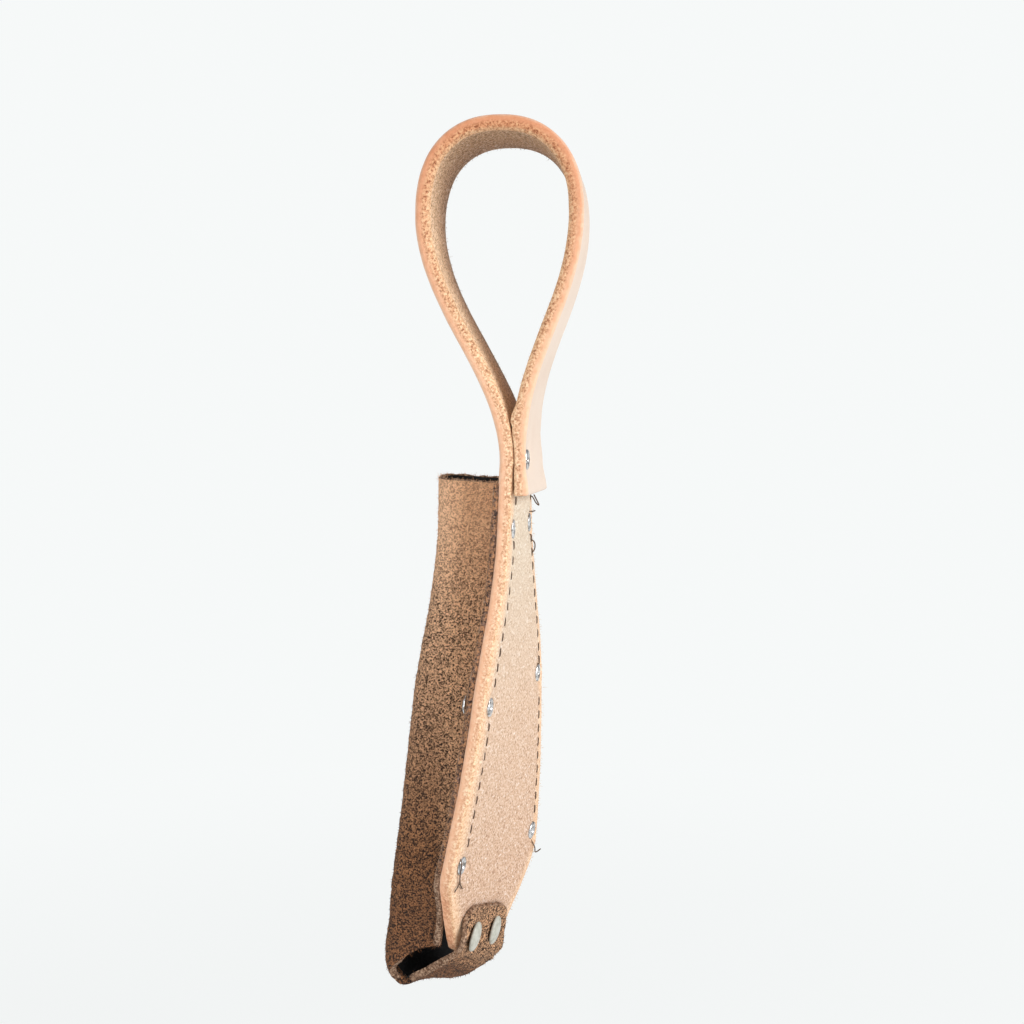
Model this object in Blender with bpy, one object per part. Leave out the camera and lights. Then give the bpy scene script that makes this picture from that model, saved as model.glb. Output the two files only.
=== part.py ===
"""Leather sheath for a small hand tool, hung by its belt loop.

One strip of thick leather is the back panel, narrows to a strap, loops over and is riveted to its
own back. A suede pouch is riveted to the panel's front along both edges. It is open at the mouth
and at the sides of its foot, and its tongue wraps under the foot and up the panel's back.

Metres, +Z up. X runs across the panel, the pouch faces -Y, and the origin is the inside top of the
loop, where a belt or a hook bears. Every outline is drawn straight and then hung, which gives the
leather its twist.
"""

import math

import bpy
import numpy as np
from mathutils import Vector

# Leather
LEATHER = 0.004
SUEDE = 0.0018
CLEARANCE = 0.0003
EDGE_RADIUS = 0.0009

# Loop and strap
STRAP_WIDTH = 0.032
LOOP_WIDTH = 0.0365
SHOULDER_DROP = 0.0215
LOOP_DROP = 0.088
LOOP_FULLNESS = 2.3
NECK_SETBACK = 0.003
LAP_RISE = 0.0085
STRAP_END_DROP = 0.0075
SKIVED = 0.003
SKIVE_LENGTH = 0.008
STRAP_END_LIFT = 0.0009

# Back panel, measured down from the neck
PANEL_LENGTH = 0.1355
FLARE_START = 0.016
FLARE_LENGTH = 0.048
FLARE_WIDTH = 0.051
PANEL_WIDTH = 0.0555
TAPER_LENGTH = 0.0225
FOOT_WIDTH = 0.021
CORNER_SOFTNESS = 0.0025
PANEL_BOW = 0.0125
BOW_POWER = 2.5

# Pouch
MOUTH_DROP = 0.0042
MOUTH_FRONT_RISE = 0.001
POUCH_DEPTH_MOUTH = 0.0188
POUCH_DEPTH_FOOT = 0.0183
POUCH_SWELL = 0.0023
POUCH_SWELL_POWER = 1.4
SIDES_ABOVE_FOOT = 0.002
SIDES_FRONT_DROP = 0.0045
FLANGE_SETBACK = 0.0004
FLANGE_LIP = 0.0026
FLANGE_BEND = 0.0015
FRONT_CORNER = 0.005
FLANGE_GAPE = 0.0008

# Tongue of the pouch
TONGUE_WIDTH = 0.0235
TONGUE_OFFSET = 0.0038
TONGUE_SAG = 0.0115
TONGUE_FRONT_BEND = 0.007
TONGUE_FOOT_BEND = 0.005
TONGUE_FOOT_DROP = 0.0016
TONGUE_REACH = 0.012
TONGUE_END_ROUND = 0.0045

# Tubular rivets
RIVETS_PER_SIDE = 3
FIRST_RIVET_DROP = 0.0125
LAST_RIVET_RISE = 0.0055
RIVET_INSET = 0.004
RIVET_HEAD = 0.0054
RIVET_HEAD_TO_WALL = 0.0005
RIVET_HEAD_HEIGHT = 0.0011
RIVET_SHANK = 0.003
RIVET_HOLLOW = 0.0017
RIVET_CLINCH = 0.0054
RIVET_CLINCH_HEIGHT = 0.0008
RIVET_SOLID_END = 0.0016
RIVET_MOUTH = 0.0022
STRAP_RIVET_OFFSET = 0.011
STRAP_RIVET_RISE = 0.002

# Cap rivets of the tongue
CAP_SPACING = 0.0115
CAPS_ABOVE_FOOT = 0.0048
CAP_DIAMETER = 0.0086
CAP_HEIGHT = 0.0019
CAP_SKIN = 0.0007
CAP_RIM = 0.0004
POST_HEAD = 0.007
POST_HEAD_HEIGHT = 0.0009
POST_CHAMFER = 0.0004
POST_HEAD_TO_WALL = 0.0002
POST_SHANK = 0.0026

# How the leather hangs: turn of the panel below the neck, level left unturned, slope of the foot
TWIST_DEGREES_PER_METRE = 148.0
TWIST_TOP_RISE = 0.025
UNTWISTED_DROP = 0.062
TWIST_EASE = 0.012
FOOT_SKEW = 0.08

# Facets
ARC_STEPS = 4
PANEL_STEP = 0.0065
TAPER_STEP = 0.0022
LEG_STEPS = 12
CROWN_STEPS = 18
FACE_STEPS = 4
EDGE_STEPS = 2
POUCH_STEP = 0.0065
FLANGE_STEPS = 2
WALL_STEPS = 3
TONGUE_STEPS = 4
TONGUE_END_STEPS = 5
ROUND_SIDES = 16
DOME_STEPS = 3
SHARP_DEGREES = 40

# Levels and widths that the sizes above set
NECK_Z = -LOOP_DROP
FOOT_Z = NECK_Z - PANEL_LENGTH
CORNER_Z = FOOT_Z + TAPER_LENGTH
FLARE_TOP_Z = NECK_Z - FLARE_START
FLARE_END_Z = FLARE_TOP_Z - FLARE_LENGTH
MOUTH_Z = NECK_Z - MOUTH_DROP
SIDES_END_Z = FOOT_Z + SIDES_ABOVE_FOOT
LAP_Z = NECK_Z + LAP_RISE
STRAP_END_Z = NECK_Z - STRAP_END_DROP
LOOP_HALF = (LOOP_WIDTH + LEATHER) / 2
FLANGE_WIDTH = RIVET_INSET + RIVET_HEAD / 2 + RIVET_HEAD_TO_WALL + SUEDE / 2
POST_REACH = TONGUE_OFFSET + CAP_SPACING / 2 + POST_HEAD / 2
FOOT_WALL_HALF = POST_REACH + POST_HEAD_TO_WALL + SUEDE / 2


def smooth(t):
    """Rise from 0 to 1 that is level at both ends."""
    t = min(max(t, 0.0), 1.0)
    return t * t * (3 - 2 * t)


def soft_min(a, b, softness):
    return (a + b - math.hypot(a - b, softness)) / 2


def between(start, end, share):
    return start + (end - start) * share


def levels(top, bottom, step):
    """Heights from top to bottom in even steps no longer than the given one."""
    return np.linspace(top, bottom, math.ceil((top - bottom) / step) + 1)


def hang(x, y, z):
    """A point of the straight sheath, moved to where it lies when the sheath hangs."""
    turned_z = soft_min(z, NECK_Z + TWIST_TOP_RISE, TWIST_EASE) - (NECK_Z - UNTWISTED_DROP)
    angle = math.radians(TWIST_DEGREES_PER_METRE) * turned_z
    below_neck = max(NECK_Z - z, 0.0) / PANEL_LENGTH
    return Vector((
        x * math.cos(angle) - y * math.sin(angle),
        x * math.sin(angle) + y * math.cos(angle),
        z + FOOT_SKEW * x * below_neck**2,
    ))


def panel_y(z):
    """Middle of the panel's thickness, bowed forward towards the foot."""
    below_neck = max(NECK_Z - z, 0.0) / PANEL_LENGTH
    return NECK_SETBACK - PANEL_BOW * below_neck**BOW_POWER


def side_half(z):
    """Half the panel's width, before its foot is tapered."""
    flare = smooth((FLARE_TOP_Z - z) / FLARE_LENGTH) * (FLARE_WIDTH - STRAP_WIDTH) / 2
    spread = min(max((FLARE_END_Z - z) / (FLARE_END_Z - CORNER_Z), 0.0), 1.0)
    return STRAP_WIDTH / 2 + flare + spread * (PANEL_WIDTH - FLARE_WIDTH) / 2


def panel_half(z):
    slope = (PANEL_WIDTH - FOOT_WIDTH) / 2 / TAPER_LENGTH
    return soft_min(side_half(z), FOOT_WIDTH / 2 + (z - FOOT_Z) * slope, CORNER_SOFTNESS)


def panel_front(z):
    return panel_y(z) - LEATHER / 2


def panel_back(z):
    return panel_y(z) + LEATHER / 2


def swing(share):
    """How far across a strand of the loop has bent, at a share of its height."""
    return (1 - math.cos(math.pi * share)) / 2


def leg_y(z):
    """Middle of the strand that rises from the panel's neck into the loop."""
    return between(NECK_SETBACK, -LOOP_HALF, swing((z - NECK_Z) / (-SHOULDER_DROP - NECK_Z)))


def strap_thickness(z):
    return between(LEATHER, SKIVED, smooth((LAP_Z + SKIVE_LENGTH / 2 - z) / SKIVE_LENGTH))


def lap_y(z):
    """Middle of the strap's skived end, where it lies on the panel's back."""
    under = panel_y(z) if z < NECK_Z else leg_y(z)
    lift = STRAP_END_LIFT * smooth((NECK_Z - z) / (NECK_Z - STRAP_END_Z))
    return under + LEATHER / 2 + CLEARANCE + strap_thickness(z) / 2 + lift


def strap_face(z):
    """Outer face of the strap's skived end."""
    return lap_y(z) + strap_thickness(z) / 2


def material(name, colour, roughness, metallic=0.0):
    made = bpy.data.materials.new(name)
    made.use_nodes = True
    shader = made.node_tree.nodes["Principled BSDF"]
    shader.inputs["Base Color"].default_value = (*colour, 1.0)
    shader.inputs["Roughness"].default_value = roughness
    shader.inputs["Metallic"].default_value = metallic
    return made


def place(name, points, faces, finish, parent):
    """A named object made of points and faces, shaded smooth between its sharp edges."""
    mesh = bpy.data.meshes.new(name)
    mesh.from_pydata([tuple(point) for point in points], [], faces)
    mesh.shade_smooth()
    mesh.set_sharp_from_angle(angle=math.radians(SHARP_DEGREES))
    mesh.materials.append(finish)
    piece = bpy.data.objects.new(name, mesh)
    piece.parent = parent
    bpy.context.scene.collection.objects.link(piece)
    return piece


def tube_faces(rings, sides, closed_ends=True):
    """Faces between rings of points that follow each other, and over both ends."""
    faces = []
    for ring in range(rings - 1):
        for side in range(sides):
            here = ring * sides + side
            after = ring * sides + (side + 1) % sides
            faces.append((here, after, after + sides, here + sides))
    if closed_ends:
        faces.append(tuple(range(sides - 1, -1, -1)))
        faces.append(tuple(range((rings - 1) * sides, rings * sides)))
    return faces


def arc(centre, radius, start, end, steps):
    angles = np.linspace(start, end, steps + 1)
    return [centre + radius * np.array((math.cos(a), math.sin(a))) for a in angles]


def rounded_path(corners, radii, steps):
    """Points along straight runs with rounded corners: one radius a corner, one step count a run."""
    corners = [np.array(corner, float) for corner in corners]
    points = [corners[0]]
    for index, radius in enumerate(radii):
        before, corner, after = corners[index:index + 3]
        bend = [corner]
        if radius:
            arrive = (before - corner) / np.linalg.norm(before - corner)
            leave = (after - corner) / np.linalg.norm(after - corner)
            half_angle = math.acos(np.clip(arrive @ leave, -1, 1)) / 2
            middle = (arrive + leave) / np.linalg.norm(arrive + leave)
            centre = corner + middle * radius / math.sin(half_angle)
            start = corner + arrive * radius / math.tan(half_angle) - centre
            turn = math.pi - 2 * half_angle
            if arrive[0] * leave[1] - arrive[1] * leave[0] > 0:
                turn = -turn
            first = math.atan2(start[1], start[0])
            bend = arc(centre, radius, first, first + turn, ARC_STEPS)
        points += run(points[-1], bend[0], steps[index])
        points += bend[1:]
    return points + run(points[-1], corners[-1], steps[-1])


def run(start, end, steps):
    """Points after the start of a straight run, up to its end."""
    return [between(start, end, step / steps) for step in range(1, steps + 1)]


def strip_section(half_width, thickness):
    """Outline of the strip across its length, as (across, outward) pairs with rounded edges."""
    flat_x = half_width - EDGE_RADIUS
    flat_n = thickness / 2 - EDGE_RADIUS
    outline = []
    for quarter, (side, face) in enumerate(((1, 1), (-1, 1), (-1, -1), (1, -1))):
        start = quarter * math.pi / 2
        corner = np.array((side * flat_x, face * flat_n))
        outline += arc(corner, EDGE_RADIUS, start, start + math.pi / 2, EDGE_STEPS)
        if quarter in (0, 2):
            over = corner + np.array((0.0, face * EDGE_RADIUS))
            outline += run(over, over * np.array((-1.0, 1.0)), FACE_STEPS)[:-1]
    return outline


def strip_line():
    """Middle line of the strip from the foot, up and over the loop, to the strap's end.

    Each entry is (y, z, half width, thickness).
    """
    line = []
    corner_top = CORNER_Z + 2 * CORNER_SOFTNESS
    panel_levels = np.concatenate((
        levels(NECK_Z, corner_top, PANEL_STEP),
        levels(corner_top, FOOT_Z, TAPER_STEP)[1:],
    ))
    for z in reversed(panel_levels):
        line.append((panel_y(z), z, panel_half(z), LEATHER))

    strap_half = STRAP_WIDTH / 2
    for step in range(1, LEG_STEPS):
        z = between(NECK_Z, -SHOULDER_DROP, step / LEG_STEPS)
        line.append((leg_y(z), z, strap_half, LEATHER))

    crown = SHOULDER_DROP + LEATHER / 2
    power = 2 / LOOP_FULLNESS
    for angle in np.linspace(math.pi, 0, CROWN_STEPS + 1):
        y = math.copysign(abs(math.cos(angle))**power, math.cos(angle)) * LOOP_HALF
        z = abs(math.sin(angle))**power * crown - SHOULDER_DROP
        line.append((y, z, strap_half, LEATHER))

    for step in range(1, LEG_STEPS + 1):
        share = step / LEG_STEPS
        z = between(-SHOULDER_DROP, LAP_Z, share)
        y = between(LOOP_HALF, lap_y(LAP_Z), swing(share))
        line.append((y, z, strap_half, strap_thickness(z)))
    for z in levels(LAP_Z, STRAP_END_Z, TAPER_STEP)[1:]:
        line.append((lap_y(z), z, strap_half, strap_thickness(z)))
    return line


def panel_and_loop(finish, parent):
    line = strip_line()
    middle = np.array([(y, z) for y, z, _, _ in line])
    along = np.gradient(middle, axis=0)
    along /= np.linalg.norm(along, axis=1)[:, None]
    points = []
    for (y, z, half_width, thickness), (along_y, along_z) in zip(line, along):
        section = strip_section(half_width, thickness)
        for across, outward in section:
            points.append(hang(across, y - outward * along_z, z + outward * along_y))
    faces = tube_faces(len(line), len(section))
    return place("panel_and_loop", points, faces, finish, parent)


def wall_half(z):
    """Half the distance between the pouch's side walls at their front, at the middle of the suede."""
    return side_half(z) - FLANGE_WIDTH


def loose(z):
    """How far the flange is free of the panel: it isn't held beside the tapered foot."""
    return smooth((CORNER_Z - z) / TAPER_LENGTH)


def flange_y(z):
    """Middle of the flange, which lies on the panel and gapes where it is loose."""
    return panel_front(z) - CLEARANCE - SUEDE / 2 - FLANGE_GAPE * loose(z)


def pouch_share(z):
    """How far down the pouch a height is, 0 at the mouth and 1 where the sides end."""
    return (MOUTH_Z - z) / (MOUTH_Z - SIDES_END_Z)


def front_y(z):
    """Middle of the pouch's front wall."""
    share = pouch_share(z)
    swell = POUCH_SWELL * math.sin(math.pi * share**POUCH_SWELL_POWER)
    depth = between(POUCH_DEPTH_MOUTH, POUCH_DEPTH_FOOT, share) + swell
    return panel_front(z) - depth + SUEDE / 2


def edge_rise(y, z):
    """Lift of a pouch point above its row: the mouth and the sides' ends slope towards the front."""
    forward = (flange_y(z) - y) / (flange_y(z) - front_y(z))
    return forward * between(MOUTH_FRONT_RISE, -SIDES_FRONT_DROP, pouch_share(z))


def tongue_edges():
    return TONGUE_OFFSET - TONGUE_WIDTH / 2, TONGUE_OFFSET + TONGUE_WIDTH / 2


def front_corner():
    """Radius of the pouch's front corners, limited so that the tongue leaves a flat wall."""
    room = wall_half(SIDES_END_Z) - max(abs(edge) for edge in tongue_edges())
    return min(FRONT_CORNER, room - CLEARANCE)


def pouch_section(z):
    """The pouch cut across at one height, from flange edge to flange edge, and its tongue columns."""
    wall = wall_half(z)
    wall_back = between(wall, FOOT_WALL_HALF, loose(z))
    edge = max(panel_half(z) - FLANGE_SETBACK, wall_back + FLANGE_LIP)
    back, front = flange_y(z), front_y(z)
    corner = front_corner()
    flat_share = (wall - corner) / (wall_half(SIDES_END_Z) - corner)
    left, right = (tongue_edge * flat_share for tongue_edge in tongue_edges())
    corners = [
        (-edge, back), (-wall_back, back), (-wall, front), (left, front),
        (right, front), (wall, front), (wall_back, back), (edge, back),
    ]
    radii = [FLANGE_BEND, corner, 0.0, 0.0, corner, FLANGE_BEND]
    steps = [FLANGE_STEPS, WALL_STEPS, 1, TONGUE_STEPS, 1, WALL_STEPS, FLANGE_STEPS]
    first = FLANGE_STEPS + WALL_STEPS + 1 + 2 * ARC_STEPS
    return rounded_path(corners, radii, steps), range(first, first + TONGUE_STEPS + 1)


def tongue_line():
    """Middle of the tongue from the end of the front wall, under the foot and up the panel's back."""
    start = np.array((front_y(SIDES_END_Z), SIDES_END_Z - SIDES_FRONT_DROP))
    bend = TONGUE_FRONT_BEND
    centre = np.array((start[0] + bend, FOOT_Z - TONGUE_SAG + SUEDE / 2 + bend))
    foot = np.array((panel_back(FOOT_Z) + CLEARANCE + SUEDE / 2, FOOT_Z - TONGUE_FOOT_DROP))
    to_foot = foot - centre
    rise = math.atan2(to_foot[1], to_foot[0]) + math.asin(bend / np.linalg.norm(to_foot))
    curl = arc(centre, bend, math.pi, 1.5 * math.pi + rise, 2 * ARC_STEPS)
    end_z = FOOT_Z + TONGUE_REACH
    end = np.array((panel_back(end_z) + CLEARANCE + SUEDE / 2, end_z))
    lead = run(start, curl[0], 1)
    climb = rounded_path([curl[-1], foot, end], [TONGUE_FOOT_BEND], [2, TONGUE_END_STEPS])
    return lead + curl[1:] + climb[1:]


def tongue_narrowing(to_end):
    """How far each edge of the tongue is drawn in, that far from its rounded end."""
    inside = TONGUE_END_ROUND - min(to_end, TONGUE_END_ROUND)
    return TONGUE_END_ROUND - math.sqrt(TONGUE_END_ROUND**2 - inside**2)


def suede_pouch(finish, parent):
    points = []
    faces = []
    heights = levels(MOUTH_Z, SIDES_END_Z, POUCH_STEP)
    for z in heights:
        section, tongue_columns = pouch_section(z)
        points += [hang(x, y, z + edge_rise(y, z)) for x, y in section]
    width = len(section)
    for row in range(len(heights) - 1):
        for column in range(width - 1):
            here = row * width + column
            faces.append((here, here + 1, here + width + 1, here + width))

    line = tongue_line()
    lengths = np.cumsum([0.0] + [np.linalg.norm(b - a) for a, b in zip(line, line[1:])])
    last = [(len(heights) - 1) * width + column for column in tongue_columns]
    left, right = tongue_edges()
    for (y, z), length in zip(line, lengths):
        narrowing = tongue_narrowing(lengths[-1] - length)
        row = []
        for share in np.linspace(0, 1, len(last)):
            row.append(len(points))
            points.append(hang(between(left + narrowing, right - narrowing, share), y, z))
        for column in range(len(last) - 1):
            faces.append((last[column], last[column + 1], row[column + 1], row[column]))
        last = row
    pouch = place("suede_pouch", points, faces, finish, parent)
    thick = pouch.modifiers.new("suede thickness", "SOLIDIFY")
    thick.thickness = SUEDE
    thick.offset = 0.0
    return pouch


def seat(x, z):
    """Middle of the panel where a rivet passes, and the rivet's direction towards the back."""
    slope = (panel_y(z + CLEARANCE) - panel_y(z - CLEARANCE)) / (2 * CLEARANCE)
    point = hang(x, panel_y(z), z)
    ahead = hang(x, panel_y(z) + LEATHER, z - slope * LEATHER)
    return point, (ahead - point).normalized()


def turn(name, profile, at, finish, parent):
    """A turned piece. The profile is (radius, height) from one end of its axis to the other."""
    points = []
    for radius, height in profile[1:-1]:
        for side in range(ROUND_SIDES):
            angle = 2 * math.pi * side / ROUND_SIDES
            points.append((radius * math.cos(angle), radius * math.sin(angle), height))
    faces = tube_faces(len(profile) - 2, ROUND_SIDES, closed_ends=False)
    for end, ring in ((profile[0], 0), (profile[-1], len(profile) - 3)):
        tip = len(points)
        points.append((0.0, 0.0, end[1]))
        for side in range(ROUND_SIDES):
            here = ring * ROUND_SIDES + side
            after = ring * ROUND_SIDES + (side + 1) % ROUND_SIDES
            faces.append((tip, after, here) if ring == 0 else (tip, here, after))
    piece = place(name, points, faces, finish, parent)
    location, direction = at
    piece.location = location
    piece.rotation_euler = direction.to_track_quat("Z", "Y").to_euler()
    return piece


def dome(radius, base, height):
    """Profile of a dome from its rim to its top."""
    angles = np.linspace(0, math.pi / 2, DOME_STEPS + 1)[:-1]
    rise = [(radius * math.cos(a), base + height * math.sin(a)) for a in angles]
    return rise + [(0.0, base + height)]


def tubular_rivet(name, at, front, back, finish, parent):
    """Rivet through leather from front to back, heights measured along its axis.

    Its head is a low dome, and its open end is rolled outwards on the back.
    """
    under_head = front - CLEARANCE
    under_roll = back + CLEARANCE
    head, shank = RIVET_HEAD / 2, RIVET_SHANK / 2
    roll, mouth, hollow = RIVET_CLINCH / 2, RIVET_MOUTH / 2, RIVET_HOLLOW / 2
    profile = dome(head, under_head, -RIVET_HEAD_HEIGHT)[::-1]
    profile += [(shank, under_head), (shank, under_roll)]
    for angle in np.linspace(0, math.pi, DOME_STEPS + 1):
        radius = (roll + mouth) / 2 + (roll - mouth) / 2 * math.cos(angle)
        profile.append((radius, under_roll + RIVET_CLINCH_HEIGHT * math.sin(angle)))
    floor = under_head + RIVET_SOLID_END
    profile += [(hollow, back - CLEARANCE), (hollow, floor), (0.0, floor)]
    return turn(name, profile, at, finish, parent)


def tongue_post(name, at, tip, finish, parent):
    head, shank = POST_HEAD / 2, POST_SHANK / 2
    under_head = -LEATHER / 2 - CLEARANCE
    top = under_head - POST_HEAD_HEIGHT
    profile = [
        (0.0, top),
        (head - POST_CHAMFER, top),
        (head, top + POST_CHAMFER),
        (head, under_head),
        (shank, under_head),
        (shank, tip - POST_CHAMFER),
        (shank - POST_CHAMFER, tip),
        (0.0, tip),
    ]
    return turn(name, profile, at, finish, parent)


def tongue_cap(name, at, base, finish, parent):
    """Domed cap with a short upright rim, and a socket that fits over the post."""
    rim, socket = CAP_DIAMETER / 2, POST_SHANK / 2 + CLEARANCE
    roof = base + CAP_HEIGHT - CAP_SKIN
    profile = [(0.0, roof), (socket, roof), (socket, base), (rim, base)]
    profile += dome(rim, base + CAP_RIM, CAP_HEIGHT - CAP_RIM)
    return turn(name, profile, at, finish, parent)


def bores(holes, parent):
    """Cutter with one rod for each hole, given as (seat, radius, half length)."""
    points = []
    faces = []
    for (location, direction), radius, reach in holes:
        spin = direction.to_track_quat("Z", "Y")
        first = len(points)
        for height in (-reach, reach):
            for side in range(ROUND_SIDES):
                angle = 2 * math.pi * side / ROUND_SIDES
                rim = Vector((radius * math.cos(angle), radius * math.sin(angle), height))
                points.append(location + spin @ rim)
        faces += [tuple(first + corner for corner in face) for face in tube_faces(2, ROUND_SIDES)]
    cutter = place("rivet_bores", points, faces, None, parent)
    cutter.hide_render = True
    cutter.display_type = "WIRE"
    return cutter


def bore(piece, cutter):
    cut = piece.modifiers.new("rivet bores", "BOOLEAN")
    cut.operation = "DIFFERENCE"
    cut.object = cutter


def build():
    for leftover in list(bpy.data.objects):
        bpy.data.objects.remove(leftover)
    sheath = bpy.data.objects.new("sheath", None)
    bpy.context.scene.collection.objects.link(sheath)

    panel = panel_and_loop(material("tanned leather", (0.80, 0.53, 0.37), 0.5), sheath)
    pouch = suede_pouch(material("brown suede", (0.17, 0.09, 0.05), 0.95), sheath)
    metal = material("bright nickel", (0.80, 0.80, 0.80), 0.25, 1.0)
    ivory = material("ivory enamel", (0.78, 0.77, 0.70), 0.35)

    holes = []
    shank_hole = RIVET_SHANK / 2 + CLEARANCE
    first_rivet_z = MOUTH_Z - FIRST_RIVET_DROP
    last_rivet_z = CORNER_Z + LAST_RIVET_RISE
    rivet_front = -LEATHER / 2 - CLEARANCE - SUEDE
    for number, z in enumerate(np.linspace(first_rivet_z, last_rivet_z, RIVETS_PER_SIDE), 1):
        for side, name in ((1, "right"), (-1, "left")):
            at = seat(side * (side_half(z) - RIVET_INSET), z)
            tubular_rivet(f"side_rivet_{name}_{number}", at, rivet_front, LEATHER / 2, metal, sheath)
            holes.append((at, shank_hole, LEATHER + SUEDE))

    strap_rivet_z = NECK_Z + STRAP_RIVET_RISE
    at = seat(STRAP_RIVET_OFFSET, strap_rivet_z)
    under_clinch = np.linspace(-RIVET_CLINCH / 2, RIVET_CLINCH / 2, FACE_STEPS + 1) + strap_rivet_z
    strap_back = max(strap_face(z) for z in under_clinch) - panel_y(strap_rivet_z)
    tubular_rivet("strap_rivet", at, -LEATHER / 2, strap_back, metal, sheath)
    holes.append((at, shank_hole, LEATHER + SKIVED))

    cap_base = LEATHER / 2 + CLEARANCE + SUEDE + CLEARANCE
    post_tip = cap_base + CAP_HEIGHT - CAP_SKIN - CLEARANCE
    for side, name in ((1, "right"), (-1, "left")):
        at = seat(TONGUE_OFFSET + side * CAP_SPACING / 2, FOOT_Z + CAPS_ABOVE_FOOT)
        tongue_post(f"tongue_post_{name}", at, post_tip, metal, sheath)
        tongue_cap(f"tongue_cap_{name}", at, cap_base, ivory, sheath)
        holes.append((at, POST_SHANK / 2 + CLEARANCE, LEATHER + SUEDE))

    cutter = bores(holes, sheath)
    bore(panel, cutter)
    bore(pouch, cutter)


build()
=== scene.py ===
"""Looks of the hanging leather tool sheath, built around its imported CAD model.

Metres, +Z up, in the CAD frame. The leather strip and the suede pouch follow the same outlines as
the CAD solids, drawn finer, with cut edges, nap, stitches and loose thread ends.
"""

import math
from collections import namedtuple

import bpy
import numpy as np
from mathutils import Matrix, Vector, noise


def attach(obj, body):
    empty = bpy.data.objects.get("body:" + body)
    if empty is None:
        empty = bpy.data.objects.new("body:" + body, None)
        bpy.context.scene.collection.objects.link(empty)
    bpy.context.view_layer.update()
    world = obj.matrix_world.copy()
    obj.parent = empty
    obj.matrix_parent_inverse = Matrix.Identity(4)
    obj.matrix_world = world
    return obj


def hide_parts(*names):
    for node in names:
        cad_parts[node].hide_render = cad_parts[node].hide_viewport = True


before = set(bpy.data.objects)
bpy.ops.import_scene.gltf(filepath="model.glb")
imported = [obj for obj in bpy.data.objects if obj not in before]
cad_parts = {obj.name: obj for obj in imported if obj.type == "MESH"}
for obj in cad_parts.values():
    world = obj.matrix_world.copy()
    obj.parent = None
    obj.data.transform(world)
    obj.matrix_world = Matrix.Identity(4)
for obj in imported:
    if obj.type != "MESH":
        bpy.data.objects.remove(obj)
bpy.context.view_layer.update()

# Sizes of the CAD model
LEATHER = 0.004
SUEDE = 0.0018
CLEARANCE = 0.0003
STRAP_WIDTH = 0.032
LOOP_WIDTH = 0.0365
SHOULDER_DROP = 0.0215
LOOP_DROP = 0.088
LOOP_FULLNESS = 2.3
NECK_SETBACK = 0.003
LAP_RISE = 0.0085
STRAP_END_DROP = 0.0075
SKIVED = 0.003
SKIVE_LENGTH = 0.008
STRAP_END_LIFT = 0.0009
PANEL_LENGTH = 0.1355
FLARE_START = 0.016
FLARE_LENGTH = 0.048
FLARE_WIDTH = 0.051
PANEL_WIDTH = 0.0555
TAPER_LENGTH = 0.0225
FOOT_WIDTH = 0.021
CORNER_SOFTNESS = 0.0025
PANEL_BOW = 0.0125
BOW_POWER = 2.5
MOUTH_DROP = 0.0042
MOUTH_FRONT_RISE = 0.001
POUCH_DEPTH_MOUTH = 0.0188
POUCH_DEPTH_FOOT = 0.0183
POUCH_SWELL = 0.0023
POUCH_SWELL_POWER = 1.4
SIDES_ABOVE_FOOT = 0.002
SIDES_FRONT_DROP = 0.0045
FLANGE_SETBACK = 0.0004
FLANGE_LIP = 0.0026
FLANGE_BEND = 0.0015
TONGUE_WIDTH = 0.0235
TONGUE_OFFSET = 0.0038
TONGUE_SAG = 0.0115
TONGUE_FRONT_BEND = 0.007
TONGUE_FOOT_BEND = 0.005
TONGUE_FOOT_DROP = 0.0016
TONGUE_REACH = 0.012
TONGUE_END_ROUND = 0.0045
RIVETS_PER_SIDE = 3
FIRST_RIVET_DROP = 0.0125
LAST_RIVET_RISE = 0.0055
RIVET_INSET = 0.004
RIVET_HEAD = 0.0054
RIVET_HEAD_TO_WALL = 0.0005
RIVET_HEAD_HEIGHT = 0.0011
RIVET_SHANK = 0.003
STRAP_RIVET_OFFSET = 0.011
STRAP_RIVET_RISE = 0.002
CAP_SPACING = 0.0115
CAPS_ABOVE_FOOT = 0.0048
CAP_DIAMETER = 0.0086
CAP_HEIGHT = 0.0019
POST_HEAD = 0.007
POST_HEAD_HEIGHT = 0.0009
POST_CHAMFER = 0.0004
POST_HEAD_TO_WALL = 0.0002
POST_SHANK = 0.0026
TWIST_PER_METRE = math.radians(148.0)
TWIST_TOP_RISE = 0.025
UNTWISTED_DROP = 0.062
TWIST_EASE = 0.012
FOOT_SKEW = 0.08

NECK_Z = -LOOP_DROP
FOOT_Z = NECK_Z - PANEL_LENGTH
CORNER_Z = FOOT_Z + TAPER_LENGTH
FLARE_TOP_Z = NECK_Z - FLARE_START
FLARE_END_Z = FLARE_TOP_Z - FLARE_LENGTH
MOUTH_Z = NECK_Z - MOUTH_DROP
SIDES_END_Z = FOOT_Z + SIDES_ABOVE_FOOT
LAP_Z = NECK_Z + LAP_RISE
STRAP_END_Z = NECK_Z - STRAP_END_DROP
LOOP_HALF = (LOOP_WIDTH + LEATHER) / 2
FLANGE_WIDTH = RIVET_INSET + RIVET_HEAD / 2 + RIVET_HEAD_TO_WALL + SUEDE / 2
TONGUE_LEFT = TONGUE_OFFSET - TONGUE_WIDTH / 2
TONGUE_RIGHT = TONGUE_OFFSET + TONGUE_WIDTH / 2
CAP_XS = {"right": TONGUE_OFFSET + CAP_SPACING / 2, "left": TONGUE_OFFSET - CAP_SPACING / 2}
CAPS_Z = FOOT_Z + CAPS_ABOVE_FOOT
FOOT_WALL_HALF = CAP_XS["right"] + POST_HEAD / 2 + POST_HEAD_TO_WALL + SUEDE / 2
RIVET_ZS = np.linspace(MOUTH_Z - FIRST_RIVET_DROP, CORNER_Z + LAST_RIVET_RISE, RIVETS_PER_SIDE)
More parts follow.
